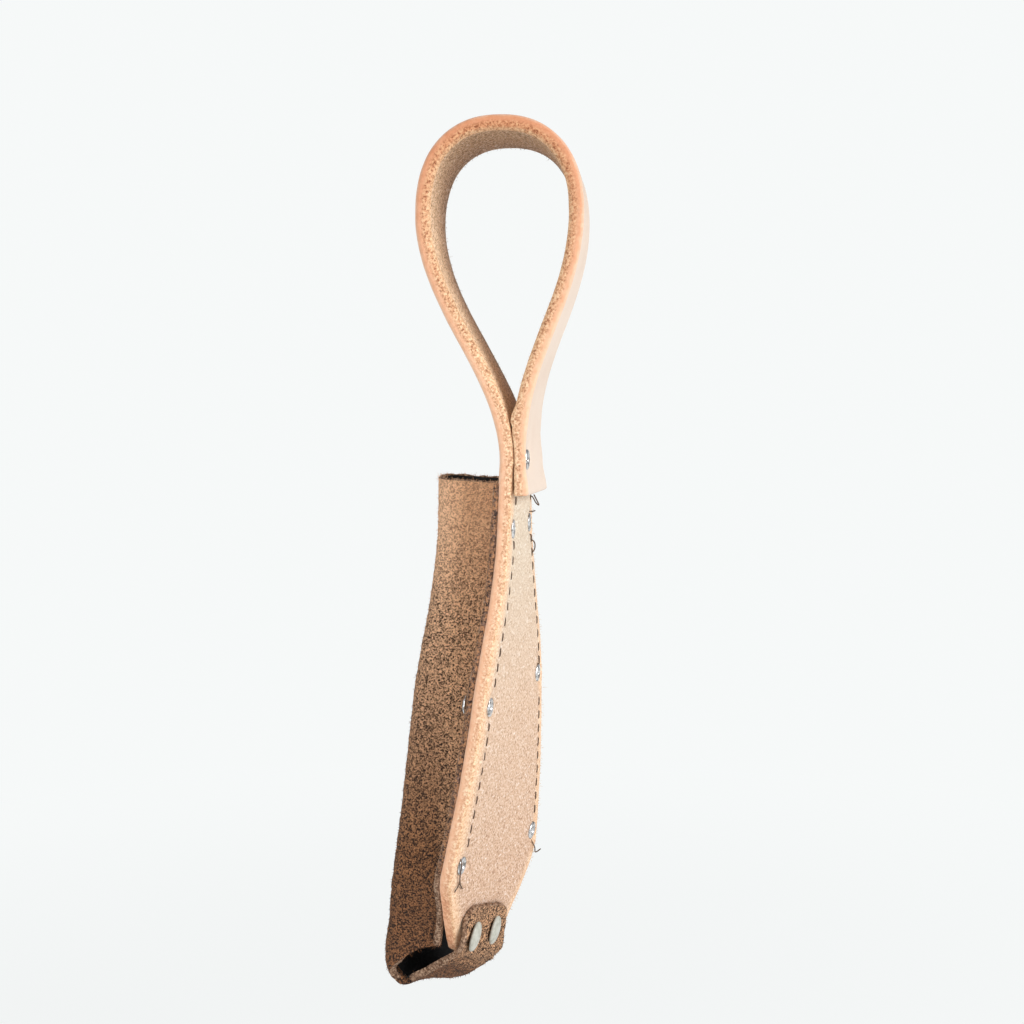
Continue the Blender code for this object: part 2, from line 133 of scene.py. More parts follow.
STRAP_RIVET_Z = NECK_Z + STRAP_RIVET_RISE

# Seams, rivets and caps as they are drawn; side 1 is right and side -1 is left
SEAM_INSETS = {1: 0.0060, -1: 0.0037}
STITCH_PITCH = 0.004
STITCH = 0.0022
THREAD = 0.0002
SEAM_TOP_Z = -0.0972
SEAM_END_Z = -0.1965
RIVET_ROOM = 0.0036
RIVET_SEATS = {1: 0.0059, -1: 0.0039}
RIVET_SLIPS = {1: -0.0016, -1: 0.0012}
CAP_DROPS = {"right": 0.0, "left": 0.001}

# Least length that a direction is divided by, and a scale that lifts small areas above it
LEAST_LENGTH = 1e-9
AREA_SCALE = 1e6
SEED = 7
rng = np.random.default_rng(SEED)


def smooth(t):
    t = np.clip(t, 0.0, 1.0)
    return t * t * (3 - 2 * t)


def soft_min(a, b, softness):
    return (a + b - np.hypot(a - b, softness)) / 2


def between(start, end, share):
    return start + (end - start) * share


def wobble(points, size, seed):
    """Smooth noise from -1 to 1 at each point, with features of about the given size."""
    shift = Vector((seed, seed * 0.7, seed * 1.3))
    return np.array([noise.noise(Vector(p) / size + shift) for p in points])


def uneven(points, *layers):
    """Sum of wobbles at each point; each layer is (height, size, seed)."""
    return sum(height * wobble(points, size, seed) for height, size, seed in layers)


def unit(vectors):
    return vectors / np.maximum(np.linalg.norm(vectors, axis=1), LEAST_LENGTH)[:, None]


def path_lengths(path):
    steps = np.linalg.norm(np.diff(path, axis=0), axis=1)
    return np.concatenate(([0.0], np.cumsum(steps)))


def steps_between(start, end, step):
    return np.linspace(start, end, math.ceil(abs(end - start) / step) + 1)


def hang(points):
    """Points of the straight sheath, moved to where they lie when the sheath hangs."""
    x, y, z = np.asarray(points, float).T
    turned_z = soft_min(z, NECK_Z + TWIST_TOP_RISE, TWIST_EASE) - (NECK_Z - UNTWISTED_DROP)
    angle = TWIST_PER_METRE * turned_z
    below_neck = np.maximum(NECK_Z - z, 0.0) / PANEL_LENGTH
    return np.stack((
        x * np.cos(angle) - y * np.sin(angle),
        x * np.sin(angle) + y * np.cos(angle),
        z + FOOT_SKEW * x * below_neck**2,
    ), 1)


def panel_y(z):
    below_neck = np.maximum(NECK_Z - z, 0.0) / PANEL_LENGTH
    return NECK_SETBACK - PANEL_BOW * below_neck**BOW_POWER


def side_half(z):
    flare = smooth((FLARE_TOP_Z - z) / FLARE_LENGTH) * (FLARE_WIDTH - STRAP_WIDTH) / 2
    spread = np.clip((FLARE_END_Z - z) / (FLARE_END_Z - CORNER_Z), 0.0, 1.0)
    return STRAP_WIDTH / 2 + flare + spread * (PANEL_WIDTH - FLARE_WIDTH) / 2


def panel_half(z):
    slope = (PANEL_WIDTH - FOOT_WIDTH) / 2 / TAPER_LENGTH
    return soft_min(side_half(z), FOOT_WIDTH / 2 + (z - FOOT_Z) * slope, CORNER_SOFTNESS)


def panel_front(z):
    return panel_y(z) - LEATHER / 2


def panel_back(z):
    return panel_y(z) + LEATHER / 2


def swing(share):
    return (1 - math.cos(math.pi * share)) / 2


def leg_y(z):
    return between(NECK_SETBACK, -LOOP_HALF, swing((z - NECK_Z) / (-SHOULDER_DROP - NECK_Z)))


def strap_thickness(z):
    return between(LEATHER, SKIVED, smooth((LAP_Z + SKIVE_LENGTH / 2 - z) / SKIVE_LENGTH))


def strap_lift(z):
    return STRAP_END_LIFT * smooth((NECK_Z - z) / (NECK_Z - STRAP_END_Z))


def lap_y(z):
    under = panel_y(z) if z < NECK_Z else leg_y(z)
    return under + LEATHER / 2 + CLEARANCE + strap_thickness(z) / 2 + strap_lift(z)


def seam_x(z, side):
    return side * (side_half(z) - SEAM_INSETS[side])


def rivet_x(z, side):
    return side * (side_half(z) - RIVET_SEATS[side])


def rivet_levels(side):
    """Heights of one side's rivets; the middle one sits a little off the even spacing."""
    first, middle, last = RIVET_ZS
    return first, middle + RIVET_SLIPS[side], last


def stitch_levels():
    """Middle heights of the stitches that show on the panel's back, clear of the rivets."""
    heights = np.arange(SEAM_TOP_Z, SEAM_END_Z, -STITCH_PITCH)
    clear = np.abs(heights[:, None] - RIVET_ZS[None, :]).min(1) > RIVET_ROOM
    return heights[clear]


# Node materials


def put(tree, socket, value):
    """Sets a socket to a number or a colour, or joins another node's output to it."""
    if isinstance(value, bpy.types.NodeSocket):
        tree.links.new(value, socket)
    elif isinstance(value, tuple):
        socket.default_value = (*value, 1.0)
    else:
        socket.default_value = value


def add_node(tree, kind, sockets, settings):
    """A node with its settings and, by name or number, what goes into its sockets."""
    made = tree.nodes.new(kind)
    for key, value in settings.items():
        setattr(made, key, value)
    for key, value in sockets.items():
        put(tree, made.inputs[key], value)
    return made


class Graph:
    """Short calls for building one material's nodes."""

    def __init__(self, name):
        self.material = bpy.data.materials.new(name)
        self.material.use_nodes = True
        self.tree = self.material.node_tree
        self.shader = self.tree.nodes["Principled BSDF"]
        self.place = self.node("ShaderNodeTexCoord", {}).outputs["Object"]

    def node(self, kind, sockets, **settings):
        return add_node(self.tree, kind, sockets, settings)

    def attribute(self, name):
        return self.node("ShaderNodeAttribute", {}, attribute_name=name).outputs["Fac"]

    def axis(self, letter):
        return self.node("ShaderNodeSeparateXYZ", {"Vector": self.place}).outputs[letter]

    def noise(self, size, detail=4.0, rough=0.55):
        """Noise with features of about the given size in metres."""
        sockets = {"Scale": 1.0 / size, "Detail": detail, "Roughness": rough, "Vector": self.place}
        return self.node("ShaderNodeTexNoise", sockets).outputs["Fac"]

    def cells(self, size, output="Distance"):
        sockets = {"Scale": 1.0 / size, "Vector": self.place}
        return self.node("ShaderNodeTexVoronoi", sockets).outputs[output]

    def flecks(self, size, share):
        """Noise broken up by grains of the same size, each a random step lighter or darker."""
        step = self.span(self.cells(size, "Color"), 0.0, 1.0, -0.5, 0.5)
        return self.add(self.noise(size, 3.0, 0.75), step, share)

    def ramp(self, factor, *stops):
        """Colour ramp; each stop is (position, (r, g, b))."""
        made = self.node("ShaderNodeValToRGB", {"Fac": factor})
        elements = made.color_ramp.elements
        while len(elements) < len(stops):
            elements.new(0.5)
        for element, (position, colour) in zip(elements, stops):
            element.position = position
            element.color = (*colour, 1.0)
        return made.outputs["Color"]

    def span(self, factor, low, high, to_low=0.0, to_high=1.0):
        """Value that goes from to_low to to_high as the factor goes from low to high."""
        sockets = {"Value": factor, "From Min": low, "From Max": high,
                   "To Min": to_low, "To Max": to_high}
        return self.node("ShaderNodeMapRange", sockets).outputs["Result"]

    def add(self, first, second, share):
        """First value plus a share of the second."""
        sockets = {0: second, 1: share, 2: first}
        return self.node("ShaderNodeMath", sockets, operation="MULTIPLY_ADD").outputs[0]

    def mix(self, factor, first, second, blend="MIX"):
        sockets = {0: factor, 6: first, 7: second}
        return self.node("ShaderNodeMix", sockets, data_type="RGBA", blend_type=blend).outputs[2]

    def tint(self, base, colour):
        return self.mix(1.0, base, colour, "MULTIPLY")

    def done(self, colour, roughness, *bumps, metallic=0.0):
        """The material with its colour, roughness and bumps, each (height, distance in metres)."""
        sockets = {"Base Color": colour, "Roughness": roughness, "Metallic": metallic}
        normal = {}
        for height, distance in bumps:
            made = self.node("ShaderNodeBump", {"Distance": distance, "Height": height, **normal})
            normal = {"Normal": made.outputs["Normal"]}
        for key, value in {**sockets, **normal}.items():
            put(self.tree, self.shader.inputs[key], value)
        return self.material


# Heights between which a look changes, each (from, to)
PANEL_TONES = (-0.22, -0.09)
LOOP_TONES = (-0.088, -0.078)
LOOP_SHADE = (-0.03, -0.002)
LOOP_FUZZ = (-0.085, -0.07)
PANEL_RUBBED = (-0.115, -0.19)
EDGE_SPECKS = (-0.13, -0.06)
EDGE_WEAR = (-0.195, -0.205)
EDGE_SHADE = (-0.06, 0.0)
# The next three darken the suede towards the foot and below a wavy step: partly the nap's own tone,
# partly painted shade
NAP_FOOT_TONE_AND_SHADE = (-0.12, -0.2)
NAP_STEP_TONE_AND_SHADE = (-0.097, -0.125)
NAP_DARK_AND_SHADE = (-0.108, -0.215)
FIBRE_SHADE = (-0.075, -0.01)
# Where the suede is the tongue's and no longer the pouch's, from and to along Y
TONGUE_YS = (-0.014, -0.008)

WHITE = (1.0, 1.0, 1.0)
SUEDE_TIPS = (1.0, 0.61, 0.365)
# Roots of the nap below that step: partly its own darker tone, partly painted shade
STEP_ROOTS_AND_SHADE = (0.03, 0.012, 0.005)
# Places on the speck's scale and the share of the tips' colour there
NAP_STOPS = ((0.35, 0.0), (0.44, 0.25), (0.525, 0.54), (0.60, 0.80), (0.71, 1.0))


def flesh_leather():
    """Sanded flesh side: tan-pink and sandy, golden at its borders, browner inside the loop, with
    painted shade there towards its far edge and at the crown.
    """
    g = Graph("leather_flesh")
    height = g.axis("Z")
    sand = g.flecks(0.0006, 0.1)
    pits = g.noise(0.0012, 4.0, 0.75)
    panel = g.ramp(g.span(height, *PANEL_TONES), (0.1, (0.66, 0.445, 0.31)),
                   (0.5, (0.69, 0.495, 0.355)), (0.9, (0.69, 0.585, 0.455)))
    # Inside the loop: painted shade, darker towards the far edge and at the crown
    loop = g.ramp(g.add(g.attribute("near"), pits, 0.7), (0.16, (0.20, 0.125, 0.086)),
                  (0.38, (0.64, 0.42, 0.28)), (0.62, (0.90, 0.61, 0.395)), (1.0, (0.98, 0.70, 0.45)))
    loop = g.mix(g.span(height, *LOOP_SHADE, 0.0, 0.8), loop, g.tint(loop, (0.55, 0.5, 0.46)))
    tone = g.mix(g.span(height, *LOOP_TONES), panel, loop)
    rubbed, plain, fuzzy = (g.tint(tone, g.ramp(sand, *stops)) for stops in (
        ((0.33, (0.36, 0.28, 0.23)), (0.44, (0.80, 0.74, 0.70)), (0.55, (1.02, 1.02, 1.02))),
        ((0.30, (0.56, 0.47, 0.42)), (0.44, (0.88, 0.84, 0.81)), (0.55, WHITE)),
        ((0.40, (0.30, 0.24, 0.20)), (0.49, (0.82, 0.78, 0.75)), (0.60, WHITE)),
    ))
    base = g.mix(g.span(height, *PANEL_RUBBED, 0.0, 0.8), plain, rubbed)
    base = g.mix(g.span(height, *LOOP_FUZZ), base, fuzzy)
    base = g.mix(g.span(sand, 0.56, 0.70, 0.0, 0.55), base, WHITE)
    border = g.ramp(sand, (0.32, (0.58, 0.31, 0.17)), (0.46, (0.78, 0.49, 0.305)),
                    (0.56, (0.84, 0.58, 0.375)), (0.68, (0.90, 0.75, 0.53)))
    rim = g.add(g.attribute("rim"), pits, 0.6)
    base = g.mix(g.span(rim, 0.42, 0.95, 0.0, 0.85), base, border)
    rough = g.span(sand, 0.3, 0.7, 0.95, 0.8)
    return g.done(base, rough, (sand, 0.00025), (g.noise(0.0004, 2.0), 0.0001))


def grain_leather():
    """Smooth grain side: very pale pink-peach with faint pores and wrinkles."""
    g = Graph("leather_grain")
    cloud = g.noise(0.022)
    pores = g.cells(0.0011)
    base = g.ramp(cloud, (0.30, (0.67, 0.52, 0.415)), (0.50, (0.705, 0.575, 0.475)),
                  (0.72, (0.72, 0.60, 0.51)))
    base = g.mix(g.span(pores, 0.0, 0.28, 0.22, 0.0), base, (0.62, 0.43, 0.31))
    rough = g.span(cloud, 0.3, 0.7, 0.45, 0.6)
    return g.done(base, rough, (pores, 0.00006), (g.noise(0.004), 0.00012))


def cut_leather():
    """Raw cut edge: clean peach on the grain side, then speckled, most strongly at the loop."""
    g = Graph("leather_cut_edge")
    height = g.axis("Z")
    fleck = g.flecks(0.0006, 0.25)
    strand = g.noise(0.0018, 5.0, 0.65)
    depth = g.add(g.attribute("depth"), g.noise(0.003, 3.0), 0.22)
    clean = g.ramp(strand, (0.30, (0.73, 0.38, 0.22)), (0.50, (0.80, 0.46, 0.285)),
                   (0.72, (0.83, 0.52, 0.345)))
    quiet = g.ramp(fleck, (0.32, (0.56, 0.28, 0.155)), (0.44, (0.74, 0.405, 0.24)),
                   (0.55, (0.82, 0.505, 0.32)), (0.68, (0.92, 0.74, 0.51)))
    strong = g.ramp(fleck, (0.33, (0.30, 0.12, 0.055)), (0.43, (0.58, 0.30, 0.155)),
                    (0.54, (0.77, 0.46, 0.275)), (0.68, (0.88, 0.67, 0.42)))
    specked = g.mix(g.span(height, *EDGE_SPECKS), quiet, strong)
    base = g.mix(g.span(depth, 0.42, 0.66), clean, specked)
    worn = g.tint(base, g.ramp(strand, (0.35, (0.72, 0.52, 0.42)), (0.55, (1.0, 0.92, 0.86))))
    base = g.mix(g.span(height, *EDGE_WEAR), base, worn)
    base = g.mix(g.span(height, *EDGE_SHADE), base, g.tint(base, (0.78, 0.58, 0.47)))
    golden = g.ramp(fleck, (0.36, (0.50, 0.28, 0.14)), (0.50, (0.78, 0.54, 0.32)),
                    (0.62, (0.88, 0.70, 0.45)))
    base = g.mix(g.span(depth, 0.88, 1.06, 0.0, 0.5), base, golden)
    base = g.mix(g.span(depth, 0.30, 0.10, 0.0, 0.55), base, (0.82, 0.62, 0.48))
    return g.done(base, g.span(fleck, 0.3, 0.7, 0.85, 0.6), (fleck, 0.0002))


def between_colours(first, second, share):
    return tuple(between(a, b, share) for a, b in zip(first, second))


def suede_tone(g, roots):
    """Colour, clumps and specks of the nap, with deeper roots and darker tips towards the foot, partly
    the nap's own tone and partly painted shade.
    """
    clump = g.noise(0.0017, 2.0, 0.5)
    speck = g.flecks(0.00039, 0.47)
    height = g.axis("Z")
    # Fewer light tips towards the foot: partly the nap's own tone, partly painted shade
    foot_tone_and_shade = g.span(height, *NAP_FOOT_TONE_AND_SHADE, 0.0, -0.075)
    grain = g.add(g.add(speck, clump, 0.08), foot_tone_and_shade, 1.0)
    upper, lower = (
        g.ramp(grain, *((at, between_colours(root, SUEDE_TIPS, share)) for at, share in NAP_STOPS))
        for root in (roots, STEP_ROOTS_AND_SHADE))
    # Darker roots below a wavy step: partly the nap's own tone, partly painted shade where the wall's
    # angle changes
    wavy = g.add(height, g.noise(0.012, 3.0), 0.006)
    base = g.mix(g.span(wavy, *NAP_STEP_TONE_AND_SHADE), upper, lower)
    # Darker still towards the foot, partly the nap's own tone and partly painted shade; on the tongue
    # a milder tint takes its place
    dark = g.ramp(g.span(height, *NAP_DARK_AND_SHADE), (0.0, WHITE), (0.8, (0.45, 0.325, 0.22)),
                  (1.0, (0.40, 0.28, 0.19)))
    dark = g.mix(g.span(g.axis("Y"), *TONGUE_YS), dark, (0.84, 0.77, 0.70))
    return g.tint(base, dark), clump, speck


def brown_suede():
    """Napped outside of the pouch."""
    g = Graph("suede_nap")
    base, clump, speck = suede_tone(g, (0.43, 0.24, 0.142))
    return g.done(base, 0.95, (clump, 0.0004), (speck, 0.0005))


def suede_fibre():
    g = Graph("suede_fibre")
    base, _, _ = suede_tone(g, (0.40, 0.225, 0.132))
    return g.done(base, 0.85)


def black_suede():
    g = Graph("suede_inside")
    fuzz = g.noise(0.0009, 4.0, 0.65)
    base = g.ramp(fuzz, (0.35, (0.006, 0.006, 0.006)), (0.6, (0.014, 0.013, 0.013)),
                  (0.8, (0.06, 0.064, 0.07)))
    return g.done(base, 0.95, (fuzz, 0.0003))


def cut_suede():
    """Frayed cut edge of the suede at its mouth, foot and tongue."""
    g = Graph("suede_cut_edge")
    fray = g.flecks(0.0006, 0.3)
    base = g.ramp(fray, (0.30, (0.06, 0.028, 0.015)), (0.45, (0.20, 0.11, 0.065)),
                  (0.56, (0.36, 0.22, 0.14)), (0.70, (0.58, 0.40, 0.27)))
    return g.done(base, 0.95, (fray, 0.0004))


def flange_edge():
    """Cut edge of the sewn flanges: dark and greyer, with rusty fibres."""
    g = Graph("suede_flange_edge")
    fray = g.flecks(0.0006, 0.3)
    rust = g.noise(0.0009, 3.0, 0.8)
    base = g.ramp(fray, (0.38, (0.016, 0.009, 0.007)), (0.51, (0.075, 0.041, 0.031)),
                  (0.64, (0.24, 0.145, 0.105)))
    base = g.mix(g.span(rust, 0.47, 0.58, 0.0, 0.9), base, (0.50, 0.245, 0.115))
    return g.done(base, 0.95, (fray, 0.0004))


def leather_fibre():
    g = Graph("leather_fibre")
    base = g.ramp(g.noise(0.002, 2.0), (0.35, (0.64, 0.42, 0.23)), (0.65, (0.84, 0.66, 0.44)))
    shade = g.span(g.axis("Z"), *FIBRE_SHADE, 0.0, 0.75)
    return g.done(g.mix(shade, base, (0.20, 0.11, 0.06)), 0.8)


def nickel():
    """Bright plate with a few darker spots."""
    g = Graph("bright_nickel")
    smear = g.noise(0.0011)
    base = g.ramp(smear, (0.35, (0.22, 0.20, 0.18)), (0.6, (0.80, 0.80, 0.81)))
    rough = g.span(smear, 0.3, 0.7, 0.14, 0.28)
    return g.done(base, rough, (g.noise(0.0004, 3.0), 0.00002), metallic=1.0)


def shaded_nickel():
    """Nickel plate painted nearly black where it lies inside the pouch, as painted shade."""
    g = Graph("shaded_nickel")
    base = g.ramp(g.noise(0.0014), (0.3, (0.012, 0.012, 0.012)), (0.7, (0.05, 0.05, 0.052)))
    return g.done(base, 0.7, metallic=0.3)


def ivory():
    """Worn ivory enamel with faint rubbed patches."""
    g = Graph("ivory_enamel")
    worn = g.noise(0.0016, 5.0, 0.6)
    base = g.ramp(worn, (0.3, (0.34, 0.33, 0.275)), (0.48, (0.45, 0.445, 0.385)),
                  (0.7, (0.52, 0.52, 0.455)))
    return g.done(base, g.span(worn, 0.3, 0.7, 0.5, 0.3), (worn, 0.00004))


def brown_thread():
    """Waxed thread with the lay of its twisted plies."""
    g = Graph("waxed_thread")
    sockets = {"Scale": 1400.0, "Distortion": 1.5, "Vector": g.place}
    lay = g.node("ShaderNodeTexWave", sockets, wave_type="BANDS", bands_direction="DIAGONAL")
    plies = lay.outputs["Fac"]
    base = g.ramp(plies, (0.2, (0.050, 0.028, 0.016)), (0.8, (0.18, 0.105, 0.062)))
    return g.done(base, 0.6, (plies, 0.00012))


MATERIALS = {
    make.__name__: make()
    for make in (flesh_leather, grain_leather, cut_leather, brown_suede, black_suede, cut_suede,
                 flange_edge, suede_fibre, leather_fibre, nickel, shaded_nickel, ivory, brown_thread)
}


# Meshes


def add_piece(name, points, faces, materials, indices=None, replaces=(), values=None):
    """A smooth-shaded piece that rides on the sheath's one body."""
    mesh = bpy.data.meshes.new(name)
    mesh.from_pydata([tuple(p) for p in points], [], [tuple(int(i) for i in f) for f in faces])
    for key in materials:
        mesh.materials.append(MATERIALS[key])
    if indices is not None:
        mesh.polygons.foreach_set("material_index", np.asarray(indices, np.int32))
    for key, numbers in (values or {}).items():
        layer = mesh.attributes.new(key, "FLOAT", "POINT")
        layer.data.foreach_set("value", np.asarray(numbers, np.float32))
    mesh.shade_smooth()
    mesh.update()
    piece = bpy.data.objects.new(name, mesh)
    bpy.context.scene.collection.objects.link(piece)
    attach(piece, "root")
    if replaces:
        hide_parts(*replaces)


def sheet_faces(rows):
    """Faces between successive rows of points."""
    return [(a, b, d, c) for above, below in zip(rows, rows[1:])
            for a, b, c, d in zip(above, above[1:], below, below[1:])]


def ring_faces(rings, sides):
    """Faces between successive closed rings of points."""
    return sheet_faces([[*range(first, first + sides), first]
                        for first in range(0, rings * sides, sides)])


def circle(side, other, count):
    """Directions all round, from two that stand across each other."""
    angles = [2 * math.pi * k / count for k in range(count)]
    return [side * math.cos(a) + other * math.sin(a) for a in angles]


def joined(faces, extra, count):
    """Faces and extra ones, whose points follow after the first count points."""
    return faces + [tuple(i + count for i in face) for face in extra]


# Leather strip

ROW_STEP = 0.00075
LOOP_STEP = 0.0011
CROWN_ROWS = 61
# Distances of columns from the edge, closest where the seams run. They are squeezed on a strip with
# less than this half width
SEAM_COLUMNS = np.array((0.0, 0.5, 1.1, 1.8, 2.5, 3.1, 3.6, 4.0,
                         4.4, 4.8, 5.3, 5.9, 6.7, 7.7, 9.0)) / 1000
SEAM_COLUMNS_HALF = 0.0125
MIDDLE_COLUMNS = 9
EDGE_COLUMNS = 7
END_BEVEL = 0.0004
GRAIN_BEVEL = 0.0011
PANEL_FLESH_BEVEL = 0.0006
LOOP_FLESH_BEVEL = 0.0016
FLESH_BEVEL_EASE = 0.012
BEVEL_ANGLES = np.radians((22.5, 45.0, 67.5))
GRAIN, EDGE, FLESH = range(3)

# Dents, each (radius, depth)
STITCH_DENT = (0.0006, 0.00012)
HOLE_DENT = (0.0003, 0.0003)
RIVET_DENT = (0.0020, 0.0012)
STRAP_RIVET_DENT = (0.0026, 0.0009)
DENT_REACH = 4
GROOVE_WIDTH = 0.0006
GROOVE_DEPTH = 0.0001
# Borders of the flesh side swell a little
PANEL_RIM = SEAM_INSETS[1] - 0.0004
LOOP_RIM = 0.003
PANEL_RIM_SWELL = 0.00045
LOOP_RIM_SWELL = 0.0002
# Wander of the cut edges, each (amount, length, seed, shift), fading quickly away from the edge
EDGE_WANDERS = ((0.00018, 0.009, 7.1, 0.0), (0.00010, 0.0016, 3.3, 5.0))
EDGE_WANDER_POWER = 8
STRIP_WAVES = ((0.00006, 0.0035, 2.0), (0.00012, 0.014, 4.0))
# Fuller than the CAD solid at the near foot corner, and closed on the neck under the strap
NEAR_FOOT_FULLNESS = 0.002
MEETING_Z = -0.0782
MEETING_EASE = 0.007
LAP_CLOSING = 0.75
# Rows before the lap's start from which the strap is closed on the neck and from which the strands
# meet, and rows past the neck that the strap's rivet dents
LAP_LEAD = 4
MEETING_LEAD = 14
NECK_LEAD = 14


def dents(across, z, spots):
    """How deep the surface is pressed in at each point by the given (x, z, radius, depth) spots."""
    depth = np.zeros_like(across)
    for x, spot_z, radius, deep in spots:
        if abs(spot_z - z) < DENT_REACH * radius:
            depth += deep * np.exp(-((across - x)**2 + (z - spot_z)**2) / (2 * radius**2))
    return depth


def back_dents():
    """Where stitches, holes and rivets press into the panel's back."""
    spots = []
    for side in (1, -1):
        for z in stitch_levels():
            spots.append((seam_x(z, side), z, *STITCH_DENT))
            for end in (-1, 1):
                spots.append((seam_x(z, side), z + end * STITCH / 2, *HOLE_DENT))
        for z in rivet_levels(side):
            spots.append((rivet_x(z, side), z, *RIVET_DENT))
    return spots


def strip_rows():
    """Middle line of the strip from the foot, up and over the loop, to the strap's end."""
    half = STRAP_WIDTH / 2
    rows = [(panel_y(FOOT_Z), FOOT_Z, panel_half(FOOT_Z) - END_BEVEL, LEATHER - 2 * END_BEVEL)]
    for z in steps_between(FOOT_Z + END_BEVEL, NECK_Z, ROW_STEP):
        rows.append((panel_y(z), z, panel_half(z), LEATHER))
    panel_rows = len(rows)
    for z in steps_between(NECK_Z, -SHOULDER_DROP, LOOP_STEP)[1:-1]:
        rows.append((leg_y(z), z, half, LEATHER))
    crown = SHOULDER_DROP + LEATHER / 2
    power = 2 / LOOP_FULLNESS
    for angle in np.linspace(math.pi, 0, CROWN_ROWS):
        y = math.copysign(abs(math.cos(angle))**power, math.cos(angle)) * LOOP_HALF
        z = abs(math.sin(angle))**power * crown - SHOULDER_DROP
        rows.append((y, z, half, LEATHER))
    for z in steps_between(-SHOULDER_DROP, LAP_Z, LOOP_STEP)[1:]:
        share = (z + SHOULDER_DROP) / (LAP_Z + SHOULDER_DROP)
        rows.append((between(LOOP_HALF, lap_y(LAP_Z), swing(share)), z, half, strap_thickness(z)))
    lap_row = len(rows)
    for z in steps_between(LAP_Z, STRAP_END_Z + END_BEVEL, ROW_STEP)[1:]:
        rows.append((lap_y(z), z, half, strap_thickness(z)))
    rows.append((lap_y(STRAP_END_Z), STRAP_END_Z, half - END_BEVEL, SKIVED - 2 * END_BEVEL))
    return np.array(rows, float), panel_rows, lap_row


def line_directions(rows):
    return unit(np.gradient(rows[:, :2], axis=0))


def face_columns(half, lip):
    """Places across one face of the strip, close together near its edges where the seams run."""
    near_edge = lip + SEAM_COLUMNS * np.minimum(1.0, (half - lip) / SEAM_COLUMNS_HALF)
    middle = np.linspace(near_edge[-1], half, MIDDLE_COLUMNS)[1:]
    inward = np.concatenate((near_edge, middle))
    return np.concatenate((half - inward, -(half - inward[::-1])[1:]))


def strip_outline(half, thickness, soft):
    """Section across the strip as (across, outward, zone), counter-clockwise from the grain face."""
    top, bottom = thickness / 2, -thickness / 2
    crisp = [(half - GRAIN_BEVEL * (1 - math.sin(a)), top - GRAIN_BEVEL * (1 - math.cos(a)))
             for a in BEVEL_ANGLES]
    edge = [(half, n) for n in np.linspace(top - GRAIN_BEVEL, bottom + soft, EDGE_COLUMNS)]
    worn = [(half - soft * (1 - math.cos(a)), bottom + soft * (1 - math.sin(a)))
            for a in BEVEL_ANGLES]
    side = crisp + edge + worn
    outline = [(x, top, GRAIN) for x in face_columns(half, GRAIN_BEVEL)]
    outline += [(-x, n, EDGE) for x, n in side]
    outline += [(-x, bottom, FLESH) for x in face_columns(half, soft)]
    outline += [(x, n, EDGE) for x, n in side[::-1]]
    return np.array(outline, float)


def edge_wander(across, half, along):
    """Places across the strip, moved where its cut edges wander at this length along it."""
    grip = np.clip(np.abs(across) / half, 0.0, 1.0)**EDGE_WANDER_POWER
    for side in (1, -1):
        wander = sum(amount * noise.noise((along / length, side * seed, shift))
                     for amount, length, seed, shift in EDGE_WANDERS)
        across = across + np.where(across * side > 0, grip * wander * side, 0.0)
    return across


def back_press(across, z, spots):
    """Dents and the seams' grooves in the panel's back."""
    pressed = dents(across, z, spots)
    for side in (1, -1):
        groove = np.exp(-((across - seam_x(z, side)) / GROOVE_WIDTH)**2)
        pressed += GROOVE_DEPTH * groove * (z > SEAM_END_Z)
    return pressed


def strip_surface(rows, panel_rows, lap_row):
    """The strip's points, row by row, and the values at them that its materials use."""
    lengths = path_lengths(rows[:, :2])
    back_spots = back_dents()
    strap_spot = [(STRAP_RIVET_OFFSET, STRAP_RIVET_Z, *STRAP_RIVET_DENT)]
    points = []
    values = {"depth": [], "rim": [], "near": []}
    for index, (row, (along_y, along_z)) in enumerate(zip(rows, line_directions(rows))):
        y, z, half, thickness = row
        soft = between(PANEL_FLESH_BEVEL, LOOP_FLESH_BEVEL, smooth((z - LAP_Z) / FLESH_BEVEL_EASE))
        across, outward, zone = strip_outline(half, thickness, soft).T
        panel = index < panel_rows
        lapped = index > lap_row - LAP_LEAD
        flesh_share = np.clip(-2 * outward / thickness, 0.0, 1.0)
        inset = (half - np.abs(across)) / (PANEL_RIM if panel else LOOP_RIM)
        rim = np.clip(1 - inset, 0.0, 1.0) * (outward < 0)
        values["depth"].append(0.5 - outward / thickness)
        values["rim"].append(rim)
        # near runs from 0 at the far edge to 1 at the near edge; inside the loop the flesh colour
        # paints shade with it, darker towards the far edge
        values["near"].append(0.5 + across / half / 2)

        outward = outward + (PANEL_RIM_SWELL if panel else LOOP_RIM_SWELL) * rim**2 * flesh_share
        across = edge_wander(across, half, lengths[index])
        if panel:
            across = across + NEAR_FOOT_FULLNESS * loose(z) * np.clip(across / half, 0.0, 1.0)
            outward = np.where(zone == FLESH, outward + back_press(across, z, back_spots), outward)
        if lapped or index < panel_rows + NECK_LEAD:
            outward = np.where(zone == GRAIN, outward - dents(across, z, strap_spot), outward)
        if lapped:
            outward = outward - (CLEARANCE + LAP_CLOSING * strap_lift(z)) * flesh_share
        elif index > lap_row - MEETING_LEAD:
            gap = y - thickness / 2 - leg_y(z) - LEATHER / 2
            closing = smooth((MEETING_Z + MEETING_EASE - z) / MEETING_EASE)
            outward = outward - gap * flesh_share * closing
        points.append(np.stack((across, y - outward * along_z, z + outward * along_y), 1))
    points = hang(np.concatenate(points))
    points[:, 1] += uneven(points, *STRIP_WAVES)
    return points, {key: np.concatenate(parts) for key, parts in values.items()}, zone.astype(int)


